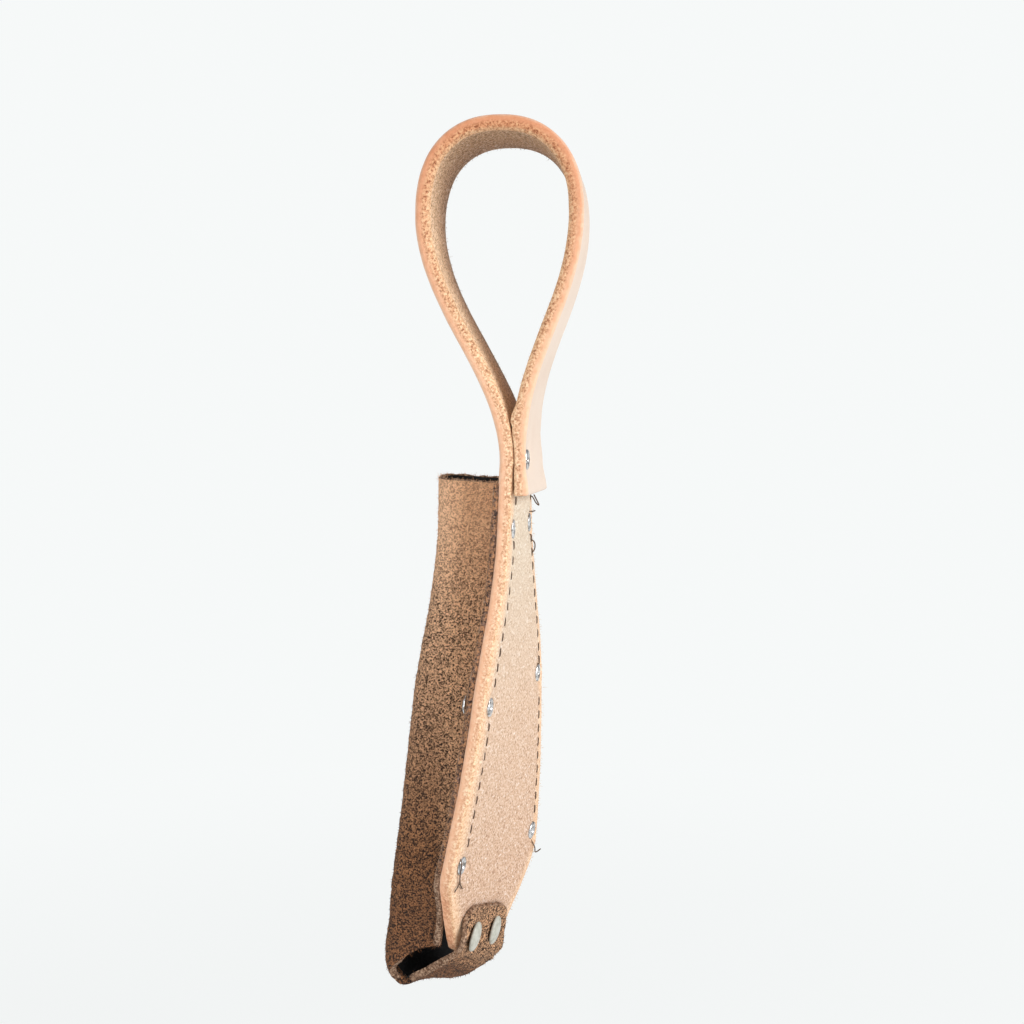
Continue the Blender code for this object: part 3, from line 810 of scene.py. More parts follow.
def leather_strip():
    rows, panel_rows, lap_row = strip_rows()
    points, values, zones = strip_surface(rows, panel_rows, lap_row)
    sides = len(zones)
    faces = ring_faces(len(rows), sides)
    band = [zone if zone == after else EDGE for zone, after in zip(zones, np.roll(zones, -1))]
    indices = [band[k % sides] for k in range(len(faces))]
    foot = range(sides - 1, -1, -1)
    strap_end = range((len(rows) - 1) * sides, len(rows) * sides)
    add_piece("leather_strip", points, faces + [foot, strap_end],
              ("grain_leather", "cut_leather", "flesh_leather"),
              indices + [EDGE, EDGE], ["panel_and_loop"], values)


# Pouch

SHEET_STEP = 0.0008
# Tighter than the CAD model's corner
FRONT_CORNER = 0.0038
# The seam draws the flange into the panel's face
SEWN_GAP = -0.00015
# Steps across a section: flange, wall, corner to tongue, tongue, and back again
SECTION_STEPS = [8, 18, 2, 28, 2, 18, 8]
SECTION_ARC = 7
TONGUE_FIRST = sum(SECTION_STEPS[:3]) + 2 * SECTION_ARC
TONGUE_LAST = TONGUE_FIRST + SECTION_STEPS[3]
# Steps along the tongue: down from the front, round the curl, to the foot, round it and up the back
TONGUE_DROP_STEPS = 2
TONGUE_CURL_STEPS = 18
TONGUE_CLIMB_STEPS = [14, 14]
TONGUE_FOOT_ARC = 6
# The tongue passes the panel's foot only after this length
TONGUE_CURL_LENGTH = 0.01

# Suede that fills the lower corners beside the tongue: how far along the lower edge, how far down
# the tongue, and how square
NEAR_WEB = (0.0165, 0.0115, 0.65)
FAR_WEB = (0.0225, 0.0135, 2.6)
# The near wall's mouth is cut lower and its foot higher: over what width this grows, how much, and
# over what length it fades; the foot's cut also fades towards the front
NEAR_SIDE = 0.008
MOUTH_DIP = 0.0004
MOUTH_DIP_LENGTH = 0.006
WALL_CUT = 0.0004
WALL_CUT_LENGTH = 0.008
WALL_CUT_FORWARD = 0.7
# The tongue sags, its near edge is drawn up and its far edge hangs lower: by how much, from what
# length along the tongue, and over what length. All three fade out on the panel's back
TONGUE_DRAPES = ((0.0010, 0.0, 0.006), (0.0034, 0.008, 0.007), (0.0012, 0.006, 0.008))
TONGUE_FLAT_EASE = 0.006
# Shares of the tongue's width that are drawn up and that hang lower, and how askew its end is cut
TONGUE_NEAR_SHARE = 0.75
TONGUE_FAR_SHARE = 0.6
TONGUE_END_SKEW = 0.0027


def loose(z):
    return smooth((CORNER_Z - z) / TAPER_LENGTH)


def flange_y(z):
    return panel_front(z) - between(SEWN_GAP, CLEARANCE, loose(z)) - SUEDE / 2


def pouch_share(z):
    return (MOUTH_Z - z) / (MOUTH_Z - SIDES_END_Z)


def front_y(z):
    share = pouch_share(z)
    swell = POUCH_SWELL * math.sin(math.pi * share**POUCH_SWELL_POWER)
    depth = between(POUCH_DEPTH_MOUTH, POUCH_DEPTH_FOOT, share) + swell
    return panel_front(z) - depth + SUEDE / 2


def run(start, end, steps):
    return [between(start, end, step / steps) for step in range(1, steps + 1)]


def arc(centre, radius, start, end, steps):
    angles = np.linspace(start, end, steps + 1)
    return [centre + radius * np.array((math.cos(a), math.sin(a))) for a in angles]


def rounded_path(corners, radii, steps, arc_steps):
    """Points along straight runs with rounded corners: one radius a corner, one step count a run."""
    corners = [np.array(corner, float) for corner in corners]
    points = [corners[0]]
    for index, radius in enumerate(radii):
        before, corner, after = corners[index:index + 3]
        bend = [corner]
        if radius:
            arrive = (before - corner) / np.linalg.norm(before - corner)
            leave = (after - corner) / np.linalg.norm(after - corner)
            half_angle = math.acos(np.clip(arrive @ leave, -1, 1)) / 2
            middle = (arrive + leave) / np.linalg.norm(arrive + leave)
            centre = corner + middle * radius / math.sin(half_angle)
            start = corner + arrive * radius / math.tan(half_angle) - centre
            turn = math.pi - 2 * half_angle
            if arrive[0] * leave[1] - arrive[1] * leave[0] > 0:
                turn = -turn
            first = math.atan2(start[1], start[0])
            bend = arc(centre, radius, first, first + turn, arc_steps)
        points += run(points[-1], bend[0], steps[index])
        points += bend[1:]
    return points + run(points[-1], corners[-1], steps[-1])


def pouch_section(z):
    """Hat section at one height: flange, wall, front, wall, flange."""
    wall = side_half(z) - FLANGE_WIDTH
    wall_back = between(wall, FOOT_WALL_HALF, loose(z))
    edge = max(panel_half(z) - FLANGE_SETBACK, wall_back + FLANGE_LIP)
    back, front = flange_y(z), front_y(z)
    flat_share = (wall - FRONT_CORNER) / (PANEL_WIDTH / 2 - FLANGE_WIDTH - FRONT_CORNER)
    left, right = TONGUE_LEFT * flat_share, TONGUE_RIGHT * flat_share
    corners = [
        (-edge, back), (-wall_back, back), (-wall, front), (left, front),
        (right, front), (wall, front), (wall_back, back), (edge, back),
    ]
    radii = [FLANGE_BEND, FRONT_CORNER, 0.0, 0.0, FRONT_CORNER, FLANGE_BEND]
    return rounded_path(corners, radii, SECTION_STEPS, SECTION_ARC)


def tongue_line():
    """Middle of the tongue from the front's lower edge, under the foot and up the panel's back."""
    start = np.array((front_y(SIDES_END_Z), SIDES_END_Z - SIDES_FRONT_DROP))
    bend = TONGUE_FRONT_BEND
    centre = np.array((start[0] + bend, FOOT_Z - TONGUE_SAG + SUEDE / 2 + bend))
    foot = np.array((panel_back(FOOT_Z) + CLEARANCE + SUEDE / 2, FOOT_Z - TONGUE_FOOT_DROP))
    to_foot = foot - centre
    rise = math.atan2(to_foot[1], to_foot[0]) + math.asin(bend / np.linalg.norm(to_foot))
    curl = arc(centre, bend, math.pi, 1.5 * math.pi + rise, TONGUE_CURL_STEPS)
    end_z = FOOT_Z + TONGUE_REACH
    end = np.array((panel_back(end_z) + CLEARANCE + SUEDE / 2, end_z))
    climb = rounded_path([curl[-1], foot, end], [TONGUE_FOOT_BEND], TONGUE_CLIMB_STEPS,
                         TONGUE_FOOT_ARC)
    return np.array([start] + run(start, curl[0], TONGUE_DROP_STEPS) + curl[1:] + climb[1:])


def web(straight, faces, edge, columns, lengths, size):
    """The pouch's lower edge swept along the tongue's edge, less far away from the tongue."""
    along, down, power = size
    far = columns[0] > columns[-1]
    steps = int(np.searchsorted(lengths, down))
    line = np.array([straight[i][1:] for i in edge])
    previous = edge[:steps + 1]
    before = edge[0]
    travelled = 0.0
    for column in columns:
        base = np.array(straight[column])
        travelled += np.linalg.norm(base - np.array(straight[before]))
        before = column
        reach = max(0.0, 1 - (travelled / along)**power)**(1 / power)
        if not reach:
            made = [(upper, column, lower) for upper, lower in zip(previous, previous[1:])]
            faces += [face[::-1] for face in made] if far else made
            break
        current = [column]
        for length in lengths[1:steps + 1]:
            moved = [np.interp(length * reach, lengths, line[:, k]) - line[0, k] for k in (0, 1)]
            current.append(len(straight))
            straight.append((base[0], base[1] + moved[0], base[2] + moved[1]))
        made = [(previous[k], current[k], current[k + 1], previous[k + 1]) for k in range(steps)]
        faces += [face[::-1] for face in made] if far else made
        previous = current


def wall_sheet(straight, faces):
    """Adds the pouch from its mouth to its foot; returns its last row."""
    for z in steps_between(MOUTH_Z, SIDES_END_Z, SHEET_STEP):
        section = np.array(pouch_section(z))
        forward = (flange_y(z) - section[:, 1]) / (flange_y(z) - front_y(z))
        rise = forward * between(MOUTH_FRONT_RISE, -SIDES_FRONT_DROP, pouch_share(z))
        near_share = smooth(section[:, 0] / NEAR_SIDE)
        dip = MOUTH_DIP * max(0.0, 1 - (MOUTH_Z - z) / MOUTH_DIP_LENGTH) * near_share
        cut = WALL_CUT * max(0.0, 1 - (z - SIDES_END_Z) / WALL_CUT_LENGTH) * near_share
        rise = rise - dip + cut * smooth(1 - forward / WALL_CUT_FORWARD)
        straight += [(x, y, z + up) for (x, y), up in zip(section, rise)]
    width = len(section)
    rows = [range(first, first + width) for first in range(0, len(straight), width)]
    faces += sheet_faces(rows)
    return rows[-1]


def tongue_sheet(straight, faces, bottom):
    """Adds the tongue below the pouch's last row; returns its near and far edges and its lengths."""
    line = tongue_line()
    lengths = path_lengths(line)
    at_foot = lengths[np.argmax((line[:, 1] > FOOT_Z) & (lengths > TONGUE_CURL_LENGTH))]
    rows = [bottom[TONGUE_FIRST:TONGUE_LAST + 1]]
    shares = np.linspace(0, 1, len(rows[0]))
    near_shares = smooth((shares - (1 - TONGUE_NEAR_SHARE)) / TONGUE_NEAR_SHARE)
    far_shares = smooth((TONGUE_FAR_SHARE - shares) / TONGUE_FAR_SHARE)
    for (y, z), length in zip(line[1:], lengths[1:]):
        flat = 1 - smooth((length - at_foot) / TONGUE_FLAT_EASE)
        slack, drawn_up, hung = (amount * smooth((length - start) / ease) * flat
                                 for amount, start, ease in TONGUE_DRAPES)
        askew = TONGUE_END_SKEW * (1 - flat)
        lifts = drawn_up * near_shares - hung * far_shares + askew * (shares - 0.5) - slack
        inside = TONGUE_END_ROUND - min(lengths[-1] - length, TONGUE_END_ROUND)
        narrowing = TONGUE_END_ROUND - math.sqrt(TONGUE_END_ROUND**2 - inside**2)
        xs = between(TONGUE_LEFT + narrowing, TONGUE_RIGHT - narrowing, shares)
        rows.append(range(len(straight), len(straight) + len(shares)))
        straight += [(x, y, z + lift) for x, lift in zip(xs, lifts)]
    faces += sheet_faces(rows)
    return [row[-1] for row in rows], [row[0] for row in rows], lengths


def pouch_sheet():
    """Middle surface of the pouch: straight points and faces, down to the tongue's end."""
    straight = []
    faces = []
    bottom = wall_sheet(straight, faces)
    near_edge, far_edge, lengths = tongue_sheet(straight, faces, bottom)
    web(straight, faces, near_edge, bottom[TONGUE_LAST + 1:], lengths, NEAR_WEB)
    web(straight, faces, far_edge, bottom[TONGUE_FIRST - 1::-1], lengths, FAR_WEB)
    return np.array(straight), faces


def triangles_of(faces):
    return np.array([(face[0], face[k], face[k + 1])
                     for face in faces for k in range(1, len(face) - 1)])


def sheet_normals(points, triangles):
    normals = np.zeros_like(points)
    a, b, c = (points[triangles[:, k]] for k in range(3))
    cross = np.cross(b - a, c - a) * AREA_SCALE
    for k in range(3):
        np.add.at(normals, triangles[:, k], cross)
    return unit(normals)


def rim_loop(faces):
    """The sheet's boundary as point numbers in order."""
    edges = set()
    for face in faces:
        for k in range(len(face)):
            edges.add((face[k], face[(k + 1) % len(face)]))
    follow = {start: end for start, end in edges if (end, start) not in edges}
    loop = [min(follow)]
    while follow[loop[-1]] != loop[0]:
        loop.append(follow[loop[-1]])
    return np.array(loop)


# A point on the pouch's front, where the sheet's outside faces -Y
FRONT_SPOT = (0.0, -0.02, -0.15)
SHEET_WAVE = (0.0005, 0.028, 1.0)
NAP_WAVES = ((0.00017, 0.0021, 3.0), (0.00015, 0.0010, 9.0))
INSIDE_WAVE = (0.00008, 0.0016, 6.0)
NAP_ROOM = 0.0001
# The tongue's part behind the panel lies no higher than this above the pouch's foot
BEHIND_RISE = 0.012
FOOT_FULLNESS = 0.0005
FOOT_FULLNESS_RISE = 0.006
# The suede is pressed in under each cap and raised round it, more on the near side
CAP_DENT = 0.0006
CAP_DENT_RADIUS = 0.0042
CAP_LIP = 0.0002
CAP_NEAR_LIP = 0.0008
CAP_LIP_RADIUS = 0.0056
CAP_LIP_WIDTH = 0.0013
CAP_MIDDLE = 0.0005
# The cut rim: its rows from outside to inside, as shares of half the thickness, and its frays
RIM_LEVELS = (0.62, 0.0, -0.62)
RIM_ROUND = 0.0003
RIM_FRAY = (0.0003, 0.0009)
RIM_FRAY_SEED = 12
RIM_RAGGED = (0.0005, 0.0022, 15.0)
# Where the rim and the inside show as a frayed or sewn flange
RIM_BAND = 0.001
FLANGE_BAND = 0.0022
FRAY_DROP = 0.0005
SEWN_RISE = 0.003
NAP, INSIDE, CUT, SEWN = range(4)


def press_caps(points, straight, normals, behind):
    """The tongue's points, pressed in under its caps and raised round them."""
    for name, x in CAP_XS.items():
        away = np.hypot(straight[:, 0] - x, straight[:, 2] - CAPS_Z + CAP_DROPS[name])
        near_side = np.clip((straight[:, 0] - x) / np.maximum(away, CAP_MIDDLE), 0.0, 1.0)
        lip = CAP_LIP + CAP_NEAR_LIP * near_side
        lip = lip * np.exp(-((away - CAP_LIP_RADIUS) / CAP_LIP_WIDTH)**2)
        push = CAP_DENT * np.exp(-(away / CAP_DENT_RADIUS)**4) - lip
        points = points - normals * np.where(behind, push, 0.0)[:, None]
    return points


def rim_rows(rim, normals):
    """Directions out of the sheet at its boundary, and the rows of points that round its cut edge."""
    ahead = np.roll(rim, -1, axis=0) - np.roll(rim, 1, axis=0)
    outside = unit(np.cross(unit(ahead), normals))
    ragged = uneven(rim, RIM_RAGGED)
    rows = []
    for level in RIM_LEVELS:
        fray = uneven(rim, (*RIM_FRAY, RIM_FRAY_SEED + level))
        push = RIM_ROUND * (1 - level**2) + fray + ragged
        rows.append(rim + normals * level * SUEDE / 2 + outside * push[:, None])
    return outside, rows


def inside_zones(straight, faces):
    """The inside's material for each face: frayed where a flange shows past the panel."""
    x, y, z = np.array([straight[list(face)].mean(0) for face in faces]).T
    past_panel = np.abs(x) > panel_half(np.maximum(z, FOOT_Z)) - RIM_BAND
    on_flange = y > panel_front(z) - SUEDE - FLANGE_BAND
    frayed = past_panel & on_flange & (z > SIDES_END_Z - FRAY_DROP)
    return [CUT if flag else INSIDE for flag in frayed]


def suede_pouch():
    straight, faces = pouch_sheet()
    points = hang(straight)
    normals = sheet_normals(points, triangles_of(faces))
    front = np.argmin(np.abs(straight - FRONT_SPOT).sum(1))
    if normals[front, 1] > 0:
        faces = [face[::-1] for face in faces]
        normals = -normals
    loop = rim_loop(faces)

    x, y, z = straight.T
    points = points + normals * uneven(points, SHEET_WAVE)[:, None]
    behind = (z < SIDES_END_Z + BEHIND_RISE) & (y > panel_y(z))
    points = press_caps(points, straight, normals, behind)
    skin = SUEDE / 2 - NAP_ROOM
    rise = (SIDES_END_Z + FOOT_FULLNESS_RISE - z) / FOOT_FULLNESS_RISE
    full = FOOT_FULLNESS * smooth(rise) * ~behind
    outer = points + normals * (skin + uneven(points, *NAP_WAVES) + full)[:, None]
    inner = points - normals * (skin - uneven(points, INSIDE_WAVE))[:, None]
    outside, rims = rim_rows(points[loop], normals[loop])

    count, size = len(points), len(loop)
    indices = [NAP] * len(faces) + inside_zones(straight, faces)
    all_faces = joined(list(faces), [face[::-1] for face in faces], count)
    at_edge = np.abs(x[loop]) > panel_half(z[loop]) - RIM_BAND
    sewn = at_edge & (z[loop] > CORNER_Z + SEWN_RISE)
    rim_chains = [np.arange(size) + 2 * count + k * size for k in range(len(RIM_LEVELS))]
    chains = [loop] + rim_chains + [loop + count]
    for ring, (above, below) in enumerate(zip(chains, chains[1:])):
        for k in range(size):
            n = (k + 1) % size
            all_faces.append((above[n], above[k], below[k], below[n]))
            indices.append(SEWN if ring and sewn[k] and sewn[n] else CUT)
    add_piece("pouch_shell", np.concatenate([outer, inner] + rims), all_faces,
              ("brown_suede", "black_suede", "cut_suede", "flange_edge"),
              indices, ["suede_pouch"])
    nap_fibres(outer, triangles_of(faces), normals, points[loop], normals[loop], outside)


# Fibres

# Lengths follow a gamma curve with this shape and scale, between the shortest and the longest
Fibres = namedtuple("Fibres", "count shape scale shortest longest thin thick")
NAP_HAIRS = Fibres(12000, 4.0, 0.00007, 0.00018, 0.0008, 0.00008, 0.00018)
RIM_HAIRS = Fibres(2600, 2.5, 0.00016, 0.00025, 0.0013, 0.00007, 0.00014)
EDGE_HAIRS = Fibres(2600, 3.0, 0.00012, 0.00015, math.inf, 0.00005, 0.0001)
# Rings of a fibre below its tip: share of its length, of its width and of its bend
FIBRE_RINGS = ((0.0, 1.0, 0.0), (0.55, 0.75, 0.3))
FIBRE_SIDE_HINT = (0.31, 0.77, 0.55)
# The nap lies down and forward, more or less
NAP_LAY = np.array((0.05, -0.25, -0.4))
NAP_LAY_SPREAD = 0.6
NAP_LEAN = 0.6
NAP_STAND = 0.9
NAP_BEND = 0.35
NAP_ROOT = 0.00012
RIM_HAIR_LEVELS = (-0.8, 0.9)
RIM_HAIR_SPREAD = 0.55
RIM_HAIR_SPLAY = 0.5
RIM_HAIR_START = 0.0001
HAIR_BEND = 0.3
EDGE_HAIR_SHARES = (0.65, 0.35)
EDGE_HAIR_SPREAD = 0.7
EDGE_HAIR_BAND = 0.0009
EDGE_HAIR_ROOT = 0.0001
EDGE_HAIR_ROOT_SPREAD = 0.0002
EDGE_HAIR_PROBE = 0.001
EDGE_END_ROWS = 2


def fibre_mesh(roots, directions, bends, lengths, widths):
    """Bent three-sided spikes: closed, thinner at their middle and pointed at the tip."""
    points = []
    faces = []
    for root, direction, bend, length, width in zip(roots, directions, bends, lengths, widths):
        side = np.cross(direction, FIBRE_SIDE_HINT)
        side /= np.linalg.norm(side)
        other = np.cross(direction, side)
        first = len(points)
        spokes = circle(side, other, 3)
        for reach, size, curve in FIBRE_RINGS:
            centre = root + direction * length * reach + bend * length * curve
            points += [centre + spoke * width * size / 2 for spoke in spokes]
        points.append(root + direction * length + bend * length)
        faces.append((first + 2, first + 1, first))
        for k in range(3):
            n = (k + 1) % 3
            faces.append((first + k, first + n, first + 3 + n, first + 3 + k))
            faces.append((first + 3 + k, first + 3 + n, first + 6))
    return points, faces


def fibre_lengths(kind):
    lengths = rng.gamma(kind.shape, kind.scale, kind.count) + kind.shortest
    return np.minimum(lengths, kind.longest)


def fibre_widths(kind):
    return rng.uniform(kind.thin, kind.thick, kind.count)


def scatter(kind, spread):
    return rng.normal(0, spread, (kind.count, 3))


def nap_fibres(outer, triangles, normals, rim, rim_normals, outside):
    """Short nap over the pouch, lying down and forward, and longer hairs along its cut edges."""
    kind = NAP_HAIRS
    corners = outer[triangles]
    cross = np.cross(corners[:, 1] - corners[:, 0], corners[:, 2] - corners[:, 0])
    area = np.linalg.norm(cross, axis=1)
    pick = rng.choice(len(triangles), kind.count, p=area / area.sum())
    shares = rng.dirichlet((1, 1, 1), kind.count)
    up = normals[triangles[pick, 0]]
    roots = (corners[pick] * shares[:, :, None]).sum(1) - up * NAP_ROOT
    lay = NAP_LAY + scatter(kind, NAP_LAY_SPREAD)
    directions = unit(up * NAP_STAND + lay * NAP_LEAN)
    lengths = fibre_lengths(kind)
    points, faces = fibre_mesh(roots, directions, unit(lay) * NAP_BEND, lengths, fibre_widths(kind))

    kind = RIM_HAIRS
    at = rng.integers(0, len(rim), kind.count)
    level = rng.uniform(*RIM_HAIR_LEVELS, (kind.count, 1))
    roots = rim[at] + rim_normals[at] * level * SUEDE / 2 + outside[at] * RIM_HAIR_START
    splay = rim_normals[at] * level * RIM_HAIR_SPLAY
    directions = unit(outside[at] + scatter(kind, RIM_HAIR_SPREAD) + splay)
    lengths = fibre_lengths(kind)
    bends = scatter(kind, HAIR_BEND)
    more, extra = fibre_mesh(roots, directions, bends, lengths, fibre_widths(kind))
    faces = joined(faces, extra, len(points))
    add_piece("pouch_nap", points + more, faces, ("suede_fibre",))


def edge_fibres():
    """Fibres that stand out along the flesh side of the strip's cut edges."""
    kind = EDGE_HAIRS
    rows, _, _ = strip_rows()
    at = rng.integers(EDGE_END_ROWS, len(rows) - EDGE_END_ROWS, kind.count)
    side = rng.choice((-1.0, 1.0), kind.count, p=EDGE_HAIR_SHARES)
    y, z, half, thickness = rows[at].T
    along_y, along_z = line_directions(rows)[at].T
    outward = -thickness / 2 + rng.uniform(0.0, EDGE_HAIR_BAND, kind.count)
    inset = EDGE_HAIR_ROOT + rng.uniform(0, EDGE_HAIR_ROOT_SPREAD, kind.count)
    straight = np.stack((side * (half - inset), y - outward * along_z, z + outward * along_y), 1)
    probe = straight + np.outer(side, (EDGE_HAIR_PROBE, 0.0, 0.0))
    roots = hang(straight)
    directions = unit(unit(hang(probe) - roots) + scatter(kind, EDGE_HAIR_SPREAD))
    lengths = fibre_lengths(kind)
    bends = scatter(kind, HAIR_BEND)
    points, faces = fibre_mesh(roots, directions, bends, lengths, fibre_widths(kind))
    add_piece("edge_fibres", points, faces, ("leather_fibre",))


# Fasteners

TURNED_SIDES = 40
CAP_SIDES = 48
# Uneven rims: share of the radius, and how quickly it changes round the rim and with height
RIVET_RIPPLE = 0.08
CAP_RIPPLE = 0.012
RIPPLE_ROUND = 2.6
RIPPLE_HEIGHT = 900
RIVET_LEAN = math.radians(7)
CAP_LEAN = math.radians(16)
DOME_STEPS = 8
HEAD_EDGE_SHARE = 0.985
HEAD_EDGE = 0.0001
# Rolled end of a rivet, and its hollow as (radius, depth below the end)
ROLL_RADIUS = 0.0019
ROLL_WIDTH = 0.0008
ROLL_HEIGHT = 0.0006
ROLL_RISE = 0.00015
ROLL_ANGLES = np.linspace(-0.35, math.pi * 0.93, 12)
ROLL_HOLLOW = ((0.00092, 0.0009), (0.00085, 0.0021), (0.0, 0.0025))
# Underside and rim of a cap: share of its radius, and height
CAP_RIM = ((0.0, 0.0002), (0.8, 0.0002), (0.95, 0.0), (0.99, 0.0002), (1.0, 0.0004), (0.985, 0.00062))
CAP_DOME_BASE = 0.00045
CAP_DOME_ANGLES = np.linspace(0.22, math.pi / 2, 9)
# Top of a post's head, as (share of its radius, height), and the taper of its tip
POST_TOP = ((0.0, 0.0), (0.7, 0.0), (0.9, 0.0001), (1.0, POST_CHAMFER))
POST_TIP_SHARE = 0.7
POST_TIP = 0.0003
# How deep heads, rolled ends and caps sit; the middle rivets' heads stand out instead
HEAD_SINKS = (0.0007, -0.0007, 0.0007)
ROLL_SINK = 0.0006
STRAP_HEAD_SINK = 0.0008
STRAP_HEAD_HEIGHT = 0.0004
STRAP_ROLL_SINK = 0.0005
CAP_SINK = 0.0008
POST_INTO_CAP = 0.0004


def seat(x, z, lean=0.0):
    """Middle of the panel where a fastener passes, and its direction to the back, leaning a little."""
    slope = (panel_y(z + CLEARANCE) - panel_y(z - CLEARANCE)) / (2 * CLEARANCE)
    point, ahead = hang([(x, panel_y(z), z), (x, panel_y(z) + LEATHER, z - slope * LEATHER)])
    direction = Vector(ahead - point).normalized()
    return Vector(point), Matrix.Rotation(lean, 3, "Z") @ direction


def turned(node, profile, at, material, sides=TURNED_SIDES, ripple=0.0):
    """A turned piece from (radius, height) pairs, both ends on the axis, with an uneven rim."""
    point, direction = at
    spin = direction.to_track_quat("Z", "Y")
    points = []
    for radius, height in profile[1:-1]:
        for side in range(sides):
            angle = 2 * math.pi * side / sides
            x, y = math.cos(angle), math.sin(angle)
            wave = noise.noise((x * RIPPLE_ROUND, y * RIPPLE_ROUND, height * RIPPLE_HEIGHT))
            reach = radius * (1 + ripple * wave)
            points.append(point + spin @ Vector((reach * x, reach * y, height)))
    rings = len(profile) - 2
    faces = ring_faces(rings, sides)
    for end, ring in ((profile[0], 0), (profile[-1], rings - 1)):
        tip = len(points)
        points.append(point + spin @ Vector((0.0, 0.0, end[1])))
        for side in range(sides):
            here, after = ring * sides + side, ring * sides + (side + 1) % sides
            faces.append((tip, after, here) if ring == 0 else (tip, here, after))
    add_piece(node + "_shown", points, faces, (material,), replaces=[node])


def rivet(node, at, front, back, head_height=RIVET_HEAD_HEIGHT):
    """Tubular rivet: low domed head, straight shank, and an open end rolled outwards."""
    under_head, under_roll = front - CLEARANCE, back - CLEARANCE
    head, shank = RIVET_HEAD / 2, RIVET_SHANK / 2
    profile = [(head * math.cos(a), under_head - head_height * math.sin(a))
               for a in np.linspace(math.pi / 2, 0, DOME_STEPS)]
    edge = under_head + HEAD_EDGE
    profile += [(head * HEAD_EDGE_SHARE, edge), (shank, edge), (shank, under_roll)]
    profile += [(ROLL_RADIUS + ROLL_WIDTH * math.cos(a),
                 under_roll + ROLL_RISE + ROLL_HEIGHT * math.sin(a)) for a in ROLL_ANGLES]
    profile += [(radius, back - depth) for radius, depth in ROLL_HOLLOW]
    turned(node, profile, at, "nickel", ripple=RIVET_RIPPLE)


def cap(node, at, base):
    """Domed cap with a small rolled rim."""
    radius = CAP_DIAMETER / 2
    profile = [(radius * share, base + height) for share, height in CAP_RIM]
    dome = radius * CAP_RIM[-1][0]
    profile += [(dome * math.cos(a), base + between(CAP_DOME_BASE, CAP_HEIGHT, math.sin(a)))
                for a in CAP_DOME_ANGLES]
    turned(node, profile, at, "ivory", CAP_SIDES, CAP_RIPPLE)


def post(node, at, tip):
    """Post with a flat head inside the pouch."""
    head, shank = POST_HEAD / 2, POST_SHANK / 2
    under_head = -LEATHER / 2 - CLEARANCE
    top = under_head - POST_HEAD_HEIGHT
    profile = [(head * share, top + height) for share, height in POST_TOP]
    profile += [(head * HEAD_EDGE_SHARE, under_head), (shank, under_head), (shank, tip - POST_TIP),
                (shank * POST_TIP_SHARE, tip), (0.0, tip)]
    # The post is painted dark, as painted shade inside the pouch
    turned(node, profile, at, "shaded_nickel")


def fasteners():
    front = -LEATHER / 2 - CLEARANCE - SUEDE
    for side, name in ((1, "right"), (-1, "left")):
        for number, (z, sink) in enumerate(zip(rivet_levels(side), HEAD_SINKS), 1):
            at = seat(rivet_x(z, side), z, RIVET_LEAN)
            rivet(f"side_rivet_{name}_{number}", at, front + sink, LEATHER / 2 - ROLL_SINK)
    z = STRAP_RIVET_Z
    strap_back = lap_y(z) + strap_thickness(z) / 2 - panel_y(z)
    rivet("strap_rivet", seat(STRAP_RIVET_OFFSET, z), -LEATHER / 2 + STRAP_HEAD_SINK,
          strap_back - STRAP_ROLL_SINK, STRAP_HEAD_HEIGHT)
    base = LEATHER / 2 + CLEARANCE + SUEDE
    for name, x in CAP_XS.items():
        at = seat(x, CAPS_Z - CAP_DROPS[name], CAP_LEAN)
        post(f"tongue_post_{name}", at, base + POST_INTO_CAP)
        cap(f"tongue_cap_{name}", at, base - CAP_SINK)


# Thread

TUBE_SIDES = 8
TUBE_END = 0.55
TUBE_UP = (0.13, 0.92, 0.37)
STITCH_CURVE_STEPS = 3
TAIL_CURVE_STEPS = 6
TAIL_THREAD = 0.9 * THREAD
# One half of a stitch on each face, from its hole: share of its half length, and lift off the face
BACK_STITCH = ((1.02, -0.0012), (0.95, -0.0003), (0.6, -0.0001))
FRONT_STITCH = ((1.0, -0.0009), (0.5, 0.00002))
# Small differences between stitches, each (amount, length along the seam, seed)
STITCH_SWAY = (0.0002, 0.004, 1.0)
STITCH_VARY = (0.2, 0.003, 4.0)
RUN_BREAK = 1.2 * STITCH_PITCH
# Loose ends, from a height on the seam: points as (across, up, lift off the panel's back)
FOOT_TAIL_Z = SEAM_END_Z + 0.0002
TOP_TAIL_Z = SEAM_TOP_Z - 0.0008
FAR_FOOT_TAIL_Z = SEAM_END_Z - 0.0005
TAILS = {
    1: (
        (FOOT_TAIL_Z, ((0.0022, 0.0034, -0.0008), (0.0024, 0.0020, 0.0003), (0.0018, -0.0020, 0.0004),
                       (0.0016, -0.0042, 0.0005), (0.0032, -0.0062, 0.0004))),
        (FOOT_TAIL_Z, ((0.0017, -0.0020, 0.0003), (0.0012, -0.0042, 0.0006),
                       (-0.0014, -0.0064, 0.0004))),
    ),
    -1: (
        (TOP_TAIL_Z, ((0.0, 0.0004, -0.0008), (0.0, 0.0006, 0.0004), (-0.0004, -0.0012, 0.0014),
                      (-0.0006, -0.0018, 0.0022), (-0.0004, 0.0, 0.0014), (0.0, 0.0012, 0.0009))),
        (TOP_TAIL_Z, ((0.0, -0.0036, -0.0008), (-0.0002, -0.0036, 0.0004),
                      (-0.0004, -0.0034, 0.0012))),
        (TOP_TAIL_Z, ((0.0, -0.0112, -0.0008), (-0.0006, -0.0122, 0.0006), (-0.0008, -0.0138, 0.0008),
                      (-0.0004, -0.0150, 0.0003), (0.0, -0.0156, -0.0008))),
        (FAR_FOOT_TAIL_Z, ((0.0, -0.0012, -0.0008), (-0.0004, -0.0036, 0.0006),
                           (-0.0008, -0.0052, 0.0009), (-0.0016, -0.0042, 0.0022))),
    ),
}


